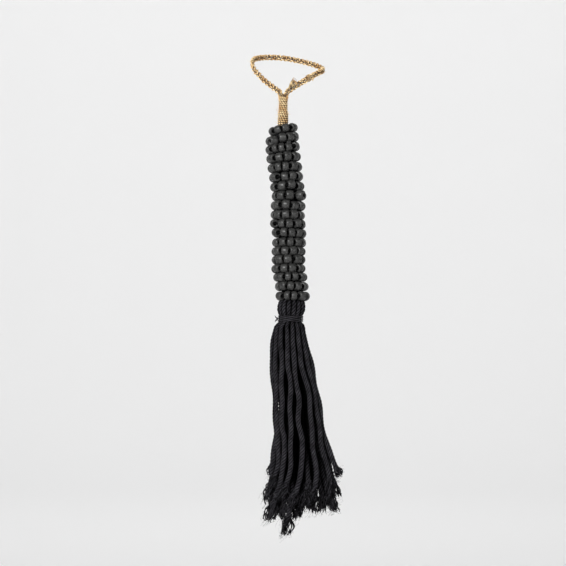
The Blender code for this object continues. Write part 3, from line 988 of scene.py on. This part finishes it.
def jute_knot(line, across, outward):
    """Twine wound round the right leg, with its two cut ends."""
    front = (line[:, 1] < 0) & (line[:, 2] < 0) & (line[:, 0] > 0)
    at = np.where(front, abs(line[:, 0] - KNOT_AT_X), 9).argmin()
    middle, side, out = line[at], across[at], outward[at]
    along = np.cross(side, out)
    turns = np.linspace(0, KNOT_TURNS * 2 * math.pi, 60)[:, None]
    wound = (
        middle
        + side * KNOT_RADII[0] * np.cos(turns)
        + out * KNOT_RADII[1] * np.sin(turns)
        + along * (turns / turns[-1] - 0.5) * KNOT_LENGTH
    )
    runs = twisted(wound, JUTE_PLIES, KNOT_TWINE, KNOT_TWINE_LAY)
    over = [middle + (side * a + along * b + out * c) * MM for a, b, c in KNOT_OVER_MM]
    over = smooth_line(over, KNOT_TWINE_STEP)
    runs += twisted(over, JUTE_PLIES, KNOT_TWINE, KNOT_TWINE_LAY, turn=1)
    rng = random.Random(7)
    for route_mm in KNOT_ENDS_MM:
        route = [np.array(point) * MM for point in route_mm]
        start = wound[np.linalg.norm(wound - route[0], axis=1).argmin()]
        end = smooth_line([start, *route], KNOT_TWINE_STEP)
        loose = np.linspace(0, 1, len(end)) ** 2
        thin = KNOT_TWINE * (1 - 0.25 * loose)
        runs += twisted(end, JUTE_PLIES, thin, 6 * MM, turn=2, opening=loose * 0.8)
        runs += tuft(end, rng, count=14, length=1.8 * MM, spread=1.2 * MM, radius=0.09 * MM)
    made = tubes("jute_knot", runs, shade=lambda places: np.full(len(places), KNOT_LIGHT))
    return dress(made, JUTE, "jute", "loop_knot")


def tuft(line, rng, count, length, spread, radius):
    """Fine fibres that stand out of the end of a line."""
    tip = line[-1]
    along = line[-1] - line[-3]
    along /= np.linalg.norm(along)
    runs = []
    for _ in range(count):
        aside = np.array([rng.uniform(-1, 1) for _ in range(3)])
        aside -= along * (aside @ along)
        reach = length * rng.uniform(0.4, 1.0)
        start = tip - along * 1.5 * MM + aside * 0.5 * MM
        middle = tip + along * reach * 0.4 + aside * spread * 0.45
        end = tip + along * reach + aside * spread
        points = smooth_line([start, middle, end], reach / 3)
        runs.append((points, radius * np.linspace(1.1, 0.5, len(points))))
    return runs


def jute_bight():
    """Slack, half unspun yarns that stand out beside the neck, some more than others."""
    rng = random.Random(11)
    runs = []
    outer = metres(BIGHT_ROUTE_MM)
    for k in range(BIGHT_YARNS):
        height = 1.0 if k < BIGHT_TALL_YARNS else rng.uniform(0.2, 0.85)
        route = []
        for number, point in enumerate(outer):
            foot = outer[0].lerp(outer[-1], number / (len(outer) - 1))
            aside = Vector([rng.uniform(-1.0, 1.0) * MM for _ in range(3)])
            route.append(foot.lerp(point, height) + aside)
        runs.append((smooth_line(route, 0.9 * MM), rng.uniform(0.14, 0.42) * MM))

    def shade(places):
        """Painted shade in uneven patches, for yarns that lie loosely over each other."""
        patches = np.sin(places[:, 0] / (0.9 * MM)) * np.sin(places[:, 2] / (1.3 * MM))
        return 0.42 + 0.16 * patches

    made = tubes("jute_bight", runs, shade=shade)
    return dress(made, JUTE, "jute", "loop_bight")


def neck_profile(z):
    """Distance of the whipping's middle line from the neck's middle at a height."""
    share = (NECK_TOP_Z - z) / (NECK_TOP_Z - NECK_BOTTOM_Z)
    second = 1 / (1 + math.exp((z - NECK_SECOND_LAYER_Z) / SECOND_LAYER_BLEND))
    return (NECK_OUT_MM + NECK_GROWTH_MM * share + SECOND_LAYER_MM * second) * MM


def jute_neck():
    """Twine wound round the loop's two ends, over a core that fills it."""
    turns = (NECK_TOP_Z - NECK_BOTTOM_Z) / NECK_PITCH
    rng = random.Random(3)
    shifts = int(turns * NECK_WOBBLES) + 3
    wobble = [rng.uniform(-NECK_WOBBLE_MM, NECK_WOBBLE_MM) * MM for _ in range(shifts)]
    points = []
    steps = round(turns * NECK_STEPS)
    for k in range(steps + 1):
        turn = 2 * math.pi * turns * k / steps
        z = NECK_TOP_Z - NECK_PITCH * turn / (2 * math.pi)
        place = turns * NECK_WOBBLES * k / steps
        low = int(place)
        soft = wobble[low] + (wobble[low + 1] - wobble[low]) * (place - low)
        out = neck_profile(z) + soft
        points.append(
            (
                axis_x(z) + out * math.sin(turn),
                SEAT_Y - out * math.cos(turn),
                z + soft * 0.8,
            )
        )
    lead = []
    for k in range(-NECK_LEAD_STEPS, 0):
        turn = 2 * math.pi * k / NECK_STEPS
        rise = (k / NECK_LEAD_STEPS) ** 2
        wide, deep = (NECK_OUT_MM + 0.6 * rise) * MM, (3.7 - 0.7 * rise) * MM
        z = NECK_TOP_Z + NECK_LEAD * rise
        x = axis_x(NECK_TOP_Z)
        lead.append((x + wide * math.sin(turn), SEAT_Y - deep * math.cos(turn), z))
    runs = twisted(np.array(lead + points), JUTE_PLIES, NECK_TWINE, NECK_TWINE_LAY)
    heights = np.linspace(NECK_TOP_Z, NECK_CORE_BOTTOM_Z, 14)
    core = np.array([(axis_x(z), SEAT_Y, z) for z in heights])
    runs.append((core, NECK_CORE_RADIUS))

    def shade(places):
        """Painted shade between two turns."""
        z = places[:, 2]
        middle = np.array([axis_x(height) for height in z])
        out = np.hypot(places[:, 0] - middle, places[:, 1] - SEAT_Y)
        wound = np.array([neck_profile(height) for height in z])
        deep = ramp(out - wound, *NECK_SHADE)
        upper = z > NECK_SECOND_LAYER_Z
        deep = np.maximum(deep, NECK_UPPER_LEAST * upper)
        return np.where(z > NECK_TOP_Z, NECK_LEAD_LIGHT, deep)

    made = tubes("jute_neck", runs, sides=8, shade=shade)
    return dress(made, JUTE, "jute", "neck_whipping")


def jute_hairs(line):
    """Stray bast fibres along the loop and round the neck."""
    rng = random.Random(5)
    runs = []
    for _ in range(JUTE_HAIRS):
        if rng.random() < LOOP_HAIR_SHARE:
            place = line[rng.randrange(2, len(line) - 2)]
            away = np.array([rng.gauss(0, 1) for _ in range(3)])
            away /= np.linalg.norm(away)
            start = place + away * 1.9 * MM
        else:
            z = rng.uniform(NECK_BOTTOM_Z + 7 * MM, NECK_TOP_Z)
            turn = rng.uniform(0, 2 * math.pi)
            away = np.array((math.sin(turn), -math.cos(turn), rng.uniform(-0.6, 0.6)))
            start = np.array((axis_x(z), SEAT_Y, z)) + away * (neck_profile(z) + 1.0 * MM)
        reach = rng.uniform(1.0, 3.6) * MM
        curl = np.array([rng.gauss(0, 0.5) for _ in range(3)])
        middle = start + (away + curl) * reach * 0.5
        end = middle + (away * 0.4 + curl * 1.4) * reach * 0.6
        points = smooth_line([start, middle, end], reach / 3)
        runs.append((points, HAIR_RADIUS * np.linspace(1.2, 0.6, len(points))))
    return dress(tubes("jute_hairs", runs, sides=4), JUTE, "jute")


# Beads


def bead_shape():
    """Bead of unit radius and half length along X, turned round its hole."""
    bm = bmesh.new()
    half = list(BEAD_OUTLINE)
    profile = [(-x, z) for x, z in reversed(half)] + half[1:]
    profile += [(0.95, HOLE_SHARE), (0.0, HOLE_SHARE * 0.97), (-0.95, HOLE_SHARE)]
    verts = [bm.verts.new((x, 0, z)) for x, z in profile]
    edges = [bm.edges.new((a, b)) for a, b in zip(verts, verts[1:] + verts[:1])]
    bmesh.ops.spin(
        bm,
        geom=verts + edges,
        axis=(1, 0, 0),
        cent=(0, 0, 0),
        steps=BEAD_SEGMENTS,
        angle=2 * math.pi,
        use_merge=True,
    )
    bmesh.ops.remove_doubles(bm, verts=bm.verts, dist=0.001)
    bmesh.ops.recalc_face_normals(bm, faces=bm.faces)
    mesh = bpy.data.meshes.new("bead")
    bm.to_mesh(mesh)
    bm.free()
    return mesh


def ring_beads(number, rng):
    """Where each bead of a ring sits, and its half length and radius."""
    ring = dict(zip(RING_COLUMNS, RINGS[number - 1]))
    radius = RING_RADIUS if number > 1 else FIRST_RING_RADIUS
    front = ring["front_deg"]
    back = 360 + front[0] - front[-1]
    spare = round(back / BACK_STEP_DEG)
    turns = list(front) + [front[-1] + back * k / spare for k in range(1, spare)]
    whole = Matrix.Translation((ring["x_mm"] * MM, SEAT_Y, ring["z_mm"] * MM))
    whole @= Matrix.Rotation(-math.radians(ring["rise_deg"]), 4, "Y")
    beads = []
    for k, turn_deg in enumerate(turns):
        gaps = [turns[(k + 1) % len(turns)] - turn_deg, turn_deg - turns[k - 1]]
        free = min(gap % 360 for gap in gaps)
        room = (radius - 1.1 * MM) * math.tan(math.radians(free / 2))
        out, up, own, size = ASKEW_BEADS.get((number, k), (0, 0, 0, 1))
        half = min(BEAD_HALF_LENGTH * size * rng.uniform(*LENGTH_SHARES), 0.99 * room)
        thick = ring["bead_mm"] * MM * size * rng.uniform(*GIRTH_SHARES)
        turn = math.radians(turn_deg)
        sag = BACK_SAG * (1 - math.cos(turn)) / 2
        away = radius + (out + rng.uniform(-OUT_SPREAD_MM, OUT_SPREAD_MM)) * MM
        rise = (up + rng.uniform(-UP_SPREAD_MM, UP_SPREAD_MM)) * MM - sag
        seat = (away * math.sin(turn), -away * math.cos(turn), rise)
        own += rng.uniform(-TURN_SPREAD_DEG, TURN_SPREAD_DEG)
        tilt = rng.uniform(-TILT_SPREAD_DEG, TILT_SPREAD_DEG)
        place = whole @ Matrix.Translation(seat)
        place @= Matrix.Rotation(turn + math.radians(own), 4, "Z")
        place @= Matrix.Rotation(math.radians(tilt), 4, "Y")
        place @= Matrix.Rotation(rng.uniform(0, 2 * math.pi), 4, "X")
        beads.append((place, half, thick))
    return beads


def add_bead(bm, shape, place, half, thick, rng):
    """Adds a bead. Its attributes bead_place and bead_end are its own place in the wood,
    and 1 round its hole and 0 on its outside."""
    wood = bm.verts.layers.float_vector["bead_place"]
    end = bm.verts.layers.float["bead_end"]
    offset = Vector([rng.uniform(0, 200) * MM for _ in range(3)])
    size = Matrix.Diagonal((half, thick, thick, 1))
    before = len(bm.verts)
    bm.from_mesh(shape)
    bm.verts.ensure_lookup_table()
    for vert in bm.verts[before:]:
        vert[end] = float(math.hypot(vert.co.y, vert.co.z) < RIM_SHARE)
        vert[wood] = size @ vert.co + offset
        vert.co = place @ size @ vert.co


def bead_rings():
    """One piece of beads for each ring, and the string that runs through all of them."""
    shape = bead_shape()
    strings = []
    for number in range(1, len(RINGS) + 1):
        rng = random.Random(100 + number)
        bm = bmesh.new()
        bm.verts.layers.float_vector.new("bead_place")
        bm.verts.layers.float.new("bead_end")
        beads = ring_beads(number, rng)
        for place, half, thick in beads:
            add_bead(bm, shape, place, half, thick, rng)
        if number == CAUGHT_BEAD_RING:
            x, y, z = (value * MM for value in CAUGHT_BEAD_MM)
            place = Matrix.Translation((x, SEAT_Y + y, z))
            add_bead(bm, shape, place, *CAUGHT_BEAD_SIZE, rng)
        mesh = bpy.data.meshes.new("beads")
        bm.to_mesh(mesh)
        bm.free()
        name = f"beads_{number:02d}"
        dress(piece(name, mesh), BEECH, "bead_wood", f"bead_ring_{number:02d}")
        string = []
        for place, half, _ in beads:
            string += [tuple(place @ Vector((x, 0, 0))) for x in (-half, 0, half)]
        strings.append(string)
    runs = []
    for number, string in enumerate(strings, 1):
        runs.append((smooth_line(string + string[:1], 1.5 * MM), STRING_RADIUS))
        if number < len(strings):
            # This near-black turn also fills the gap between the two rings, standing in for
            # the shade there
            x, z = ((RINGS[number - 1][k] + RINGS[number][k]) / 2 * MM for k in (1, 0))
            rise = math.radians((RINGS[number - 1][2] + RINGS[number][2]) / 2)
            turns = np.linspace(0, 2 * math.pi, 49)
            aside = STRING_TURN * np.sin(turns)
            low = BACK_SAG * (1 - np.cos(turns)) / 2
            wound = np.stack(
                [
                    x + aside * math.cos(rise),
                    SEAT_Y - STRING_TURN * np.cos(turns),
                    z + aside * math.sin(rise) - low,
                ],
                axis=1,
            )
            runs.append((wound, STRING_RADIUS))
    return dress(tubes("bead_string", runs), THREAD, "cotton_yarn")


# Cotton cords


def core_cords():
    """Cords that the rings of beads sit round."""
    runs = []
    for k in range(CORE_CORDS):
        turn = 2 * math.pi * k / CORE_CORDS
        points = []
        for z in np.arange(CORE_TOP_Z, CORE_BOTTOM_Z, -8 * MM):
            tight = min(1.0, 0.35 + (CORE_TOP_Z - z) / (22 * MM))
            out = CORE_CIRCLE * tight
            sweep = turn - z / CORE_SWEEP
            points.append(
                (axis_x(z) + out * math.sin(sweep), SEAT_Y - out * math.cos(sweep), z)
            )
        line = smooth_line(points, 2.0 * MM)
        runs += twisted(line, CORD_PLIES, CORE_CORD_RADIUS, CORD_LAY, turn=k)
    return dress(tubes("core_cords", runs), COTTON, "cotton_cord")


def skirt_shape(drop):
    """Middle, half width and half depth of the skirt at a drop below the binding."""
    left, right, depth = (
        value_at(SKIRT_SECTIONS_MM, drop / MM, column) * MM for column in (1, 2, 3)
    )
    return (left + right) / 2, (right - left) / 2, depth


def cord_radius(drop):
    share = min(1.0, max(0.0, drop / CORD_SWELL))
    return CORD_ROOT_RADIUS + (CORD_RADIUS - CORD_ROOT_RADIUS) * share


def front_place(number, row):
    """Place of a cord that shows at the front, as deep as the skirt's edge is there."""
    _, turn_deg, inward = FRONT_CORDS[number]
    places = FRONT_PLACES_MM[number]
    drop = CORD_ROWS_MM[row] * MM
    middle, half_width, half_depth = skirt_shape(drop)
    inside = cord_radius(drop)
    if row < HELD_ROWS:
        turn = math.radians(turn_deg)
        x = middle + (half_width - inside) * math.sin(turn)
        return x, SEAT_Y - (half_depth - inside) * math.cos(turn)
    x = places[min(row - HELD_ROWS, len(places) - 1)] * MM
    aside = min(0.98, abs(x - middle) / (half_width - inside))
    deep = (half_depth - inside) * math.sqrt(1 - aside**2) * (1 - inward)
    return x, SEAT_Y - deep


def hidden_place(cord, row):
    """Place that a hidden cord would take, if no other were in its way."""
    drop = CORD_ROWS_MM[row] * MM
    middle, half_width, half_depth = skirt_shape(drop)
    inside = cord_radius(drop)
    share = ROOT_CIRCLES_MM[cord["circle"]] / ROOT_CIRCLES_MM["outer"]
    turn = math.radians(cord["turn_deg"])
    span = max(cord["length_mm"] * MM - LEAN_FROM, MM)
    lean = max(0.0, min(1.0, (drop - LEAN_FROM) / span)) ** LEAN_POWER
    x = middle + (half_width - inside) * share * math.sin(turn)
    held_back = 1 - HELD_BACK * min(1.0, max(0.0, drop / CORD_SWELL - 1)) * (share < 1)
    y = SEAT_Y - (half_depth - inside) * share * held_back * math.cos(turn)
    return x + lean * cord["right_mm"] * MM, y - lean * cord["front_mm"] * MM


def hung_cords():
    """Circle, turn, length and middle line of every cord, pushed aside wherever two would
    share a place. The cords that show at the front only give way in depth."""
    cords = [("outer", turn_deg, length) for length, turn_deg, _ in FRONT_CORDS]
    hidden = [dict(zip(CORD_COLUMNS, values)) for values in HIDDEN_CORDS]
    cords += [(cord["circle"], cord["turn_deg"], cord["length_mm"]) for cord in hidden]
    yields = np.array([(0.1, 0.4)] * len(FRONT_CORDS) + [(1.0, 1.0)] * len(hidden))
    rows = []
    for row, drop_mm in enumerate(CORD_ROWS_MM):
        places = [front_place(number, row) for number in range(len(FRONT_CORDS))]
        places += [hidden_place(cord, row) for cord in hidden]
        places = np.array(places)
        hung = np.array([length + 12 > drop_mm for _, _, length in cords])
        needed = CORD_ROOM * cord_radius(drop_mm * MM)
        for _ in range(PUSH_ROUNDS if row >= HELD_ROWS else 0):
            apart = places[:, None] - places[None]
            distance = np.linalg.norm(apart, axis=2)
            missing = np.maximum(needed - distance, 0) * hung[:, None] * hung[None]
            np.fill_diagonal(missing, 0)
            push = apart / np.maximum(distance, 1e-6)[..., None] * missing[..., None] / 2
            places = places + push.sum(axis=1) * yields * 0.8
        rows.append(places)
    rows = np.array(rows)
    made = []
    for k, (circle, turn_deg, length) in enumerate(cords):
        kept = [row for row, drop in enumerate(CORD_ROWS_MM) if drop < length - 6]
        last = kept[-1]
        low, high = CORD_ROWS_MM[last], CORD_ROWS_MM[min(last + 1, len(rows) - 1)]
        share = (length - low) / max(high - low, 1)
        below = rows[min(last + 1, len(rows) - 1), k]
        end = rows[last, k] + (below - rows[last, k]) * share
        line = [(*rows[row, k], SKIRT_TOP_Z - CORD_ROWS_MM[row] * MM) for row in kept]
        line.append((*end, SKIRT_TOP_Z - length * MM))
        made.append((circle, turn_deg, line))
    return made


def head_points(circle, turn_deg):
    """Points of a cord above the binding, out of the core and round the head."""
    turn = math.radians(turn_deg)
    inward = ROOT_CIRCLES_MM[circle] / ROOT_CIRCLES_MM["outer"]
    points = []
    for z_mm, out_mm in HEAD_PATH_MM:
        z = z_mm * MM
        out = out_mm * MM * inward
        points.append((axis_x(z) + out * math.sin(turn), SEAT_Y - out * math.cos(turn), z))
    return points


def frayed_end(line, radius, turn, fray, rng):
    """Yarns of a cord's four plies that have come undone: a soft clump for each ply, and
    fine fibres that stand out of it."""
    tip = line[-1]
    along = (line[-1] - line[-5]) / np.linalg.norm(line[-1] - line[-5])
    first, second = side_vectors(line)
    first, second = first[-1], second[-1]
    lean = first * rng.uniform(-0.25, 0.25) + second * rng.uniform(-0.25, 0.25)
    lean[2] -= 0.05
    brush = fray * rng.uniform(0.92, 1.2)
    free = ramp(SKIRT_TOP_Z - tip[2], FREE_FROM, FREE_SPAN)
    open_to = rng.uniform(1.4, 2.2) + 0.8 * free
    places = np.linspace(0, 1, YARN_POINTS)[:, None]
    runs = []
    for ply in range(CORD_PLIES):
        ply_turn = 2 * math.pi * ply / CORD_PLIES + turn
        ply_reach = brush * rng.uniform(0.82, 1.0)
        ply_wave = [rng.uniform(0, 6.3) for _ in range(2)]
        ply_curl = rng.uniform(0.3, 0.9) * MM
        for _ in range(YARNS_PER_PLY):
            inner = rng.uniform(0, 2 * math.pi)
            spread = radius * 0.5 * math.sqrt(rng.uniform(0, 1))
            whole = ply_reach * rng.uniform(0.8, 1.05) + YARN_START
            reach = -YARN_START + whole * places
            share = np.maximum(0, reach / brush)
            twist = 1.1 * (1 - np.exp(-np.maximum(reach, 0) / (6 * MM)))
            twist = twist + 2 * math.pi * np.minimum(reach, 0) / CORD_LAY
            opened = np.sin(np.minimum(1, share / 0.5) * math.pi / 2)
            opened = opened - 0.9 * np.maximum(0, share - 0.5)
            centre = radius * 0.55 * (1 + (open_to - 1) * opened)
            loose = spread * (1 + (1 + 0.7 * free) * opened)
            across = centre * np.cos(ply_turn + twist) + loose * np.cos(inner + 2 * twist)
            deep = centre * np.sin(ply_turn + twist) + loose * np.sin(inner + 2 * twist)
            bend = ply_curl * share**0.8
            across = across + bend * np.sin(reach / (1.9 * MM) + ply_wave[0])
            deep = deep + bend * np.sin(reach / (2.3 * MM) + ply_wave[1])
            small = rng.uniform(0.2, 0.6) * MM * np.minimum(1, share * 2)
            across = across + small * np.sin(reach / (1.1 * MM) + inner)
            deep = deep + small * np.cos(reach / (1.3 * MM) + 3 * inner)
            middles = tip + along * reach + lean * share**1.6 * brush
            points = middles + first * across + second * deep
            out = np.linalg.norm(points - middles, axis=1)
            thick = YARN_RADIUS * np.linspace(1.0, 0.85, YARN_POINTS)
            runs.append((points, thick, middles, out, rng.choice(YARN_LIGHTS)))
            for _ in range(FIBRES_PER_YARN):
                start = points[rng.randrange(4, YARN_POINTS)]
                aside = np.array([rng.gauss(0, 1) for _ in range(3)])
                aside += (start - middles[8]) / (3 * MM)
                length = rng.uniform(1.0, 2.6) * MM
                middle = start + (along * 0.5 + aside * 0.45) * length
                end = middle + (along * 0.6 + aside[::-1] * 0.5) * length
                runs.append((np.array([start, middle, end]), FIBRE_RADIUS))
    return runs


def between_cords(lines, meeting=True):
    """Painted shade for each place of the skirt: dark where two cords meet and deep inside.
    """
    sections = np.array(SKIRT_SECTIONS_MM) * MM
    shaded = np.array(SHADED_MM)

    def shade(places):
        x, y, z = places.T
        drop = SKIRT_TOP_Z - z
        left, right, depth = (
            np.interp(drop, sections[:, 0], sections[:, k]) for k in (1, 2, 3)
        )
        aside = (x - (left + right) / 2) / ((right - left) / 2)
        out = np.hypot(aside, (y - SEAT_Y) / depth)
        low, high = (np.interp(drop / MM, shaded[:, 0], shaded[:, k]) for k in (1, 2))
        light = np.where(drop > 0, (out - low) / (high - low), 1)
        if meeting:
            away = []
            for line in lines:
                up = line[::-1]
                at_x = np.interp(z, up[:, 2], up[:, 0], left=1)
                away.append(np.hypot(x - at_x, y - np.interp(z, up[:, 2], up[:, 1])))
            away = np.partition(away, 1, axis=0)
            light = np.minimum(light, ramp(away[1] - away[0], *CORD_SHADE))
        return SHADE_LEAST + (1 - SHADE_LEAST) * np.clip(light, 0, 1)

    return shade


def skirt_cords():
    """Twisted cords from the head to their frayed ends, a piece for each circle."""
    rng = random.Random(21)
    groups = {"outer": [], "middle": [], "inner": []}
    frays, fuzz, lines = [], [], []
    for circle, turn_deg, hung in hung_cords():
        line = smooth_line(head_points(circle, turn_deg) + hung, CORD_STEP)
        run = run_length(line)
        drop = SKIRT_TOP_Z - line[:, 2]
        fray = FRAY_LENGTH if drop[-1] > SHORT_CORD else FRAY_LENGTH * 0.5
        kept = run < run[-1] - rng.uniform(0.9, 1.15) * fray
        swell = np.clip(drop / CORD_SWELL, 0, 1)
        head = np.clip((-drop - 6 * MM) / (8 * MM), 0, 1)
        size = np.maximum(swell, head * 0.8)
        radius = CORD_ROOT_RADIUS + (CORD_RADIUS - CORD_ROOT_RADIUS) * size
        radius = radius * rng.uniform(0.95, 1.03)
        wave = rng.uniform(0, 6)
        sway = ramp(drop, 0, SWAY_FROM) * SWAY_MM[circle] * MM
        line[:, 0] += sway * np.sin(run / (7 * MM) + wave)
        line[:, 1] += sway * np.cos(run / (10 * MM) + wave)
        line, radius, run = line[kept], radius[kept], run[kept]
        lines.append(line)
        from_end = run[-1] - run
        opening = 0.2 * np.clip(1 - from_end / (5 * MM), 0, 1)
        lay = CORD_LAY * rng.uniform(0.95, 1.06)
        turn = rng.uniform(0, 6)
        groups[circle] += twisted(line, CORD_PLIES, radius, lay, turn, opening)
        last_turn = turn + 2 * math.pi * run[-1] / lay
        frays += frayed_end(line, radius[-1] * 1.1, last_turn, fray, rng)
        for _ in range(FUZZ_PER_CORD):
            k = rng.randrange(10, len(line) - 2)
            away = np.array((rng.gauss(0, 1), rng.gauss(0, 1), rng.gauss(0, 0.7)))
            away /= np.linalg.norm(away)
            reach = rng.uniform(0.8, 2.2) * MM
            start = line[k] + away * radius[k] * 0.9
            middle = start + away * reach * 0.6
            end = middle + np.array([rng.gauss(0, 0.6) for _ in range(3)]) * reach
            fuzz.append((np.array([start, middle, end]), FUZZ_RADIUS))
    for circle, runs in groups.items():
        nodes = ("tassel_cords",) if circle == "outer" else ()
        made = tubes(f"skirt_{circle}", runs, sides=8, shade=between_cords(lines))
        dress(made, COTTON, "cotton_cord", *nodes)
    # Painted shade for the frays, dark deep inside the skirt
    deep = between_cords(lines, meeting=False)
    dress(tubes("skirt_frays", frays, sides=4, shade=deep), FRAY, "cotton_cord")
    dress(tubes("skirt_fuzz", fuzz, sides=4), COTTON, "cotton_cord")


def binding():
    """Yarn wound round the foot of the head, with a knot at the left."""
    points = []
    for k in range(BINDING_TURNS * BINDING_STEPS + 1):
        turn = 2 * math.pi * k / BINDING_STEPS - math.pi / 2
        z = BINDING_TOP_Z - 2 * BINDING_YARN * k / BINDING_STEPS
        x = axis_x(z) + BINDING_RADIUS * math.sin(turn)
        points.append((x, SEAT_Y - BINDING_RADIUS * math.cos(turn), z))
    runs = twisted(np.array(points), BINDING_PLIES, BINDING_YARN, BINDING_LAY)
    z = BINDING_TOP_Z - BINDING_TURNS * BINDING_YARN
    knot = np.array((axis_x(z) - BINDING_RADIUS - 1.5 * MM, SEAT_Y, z))
    wound = []
    for turn in np.arange(BINDING_STEPS + 1) * 2 * math.pi / BINDING_STEPS:
        across = math.sin(turn) + 2 * math.sin(2 * turn)
        up = math.cos(turn) - 2 * math.cos(2 * turn)
        wound.append(knot + BINDING_KNOT * np.array((math.cos(3 * turn), across, up)))
    runs.append((np.array(wound), 0.62 * MM))
    rng = random.Random(9)
    for up in (1, -1):
        route = [knot + np.array((x, y, z * up)) * MM for x, y, z in BINDING_ENDS_MM]
        end = smooth_line([knot, *route], 0.5 * MM)
        runs.append((end, 0.55 * MM))
        runs += tuft(end, rng, count=8, length=1.6 * MM, spread=0.9 * MM, radius=0.1 * MM)

    def shade(places):
        """Painted shade between two turns."""
        middle = np.array([axis_x(height) for height in places[:, 2]])
        out = np.hypot(places[:, 0] - middle, places[:, 1] - SEAT_Y)
        return ramp(out - BINDING_RADIUS, *BINDING_SHADE)

    made = tubes("binding_yarn", runs, shade=shade)
    return dress(made, YARN, "cotton_yarn", "binding")


def main():
    add_camera()
    loop, line, across, outward = jute_loop()
    knot = jute_knot(line, across, outward)
    bight = jute_bight()
    jute_neck()
    jute_hairs(line)
    bead_rings()
    core_cords()
    skirt_cords()
    binding()
    add_studio()


main()
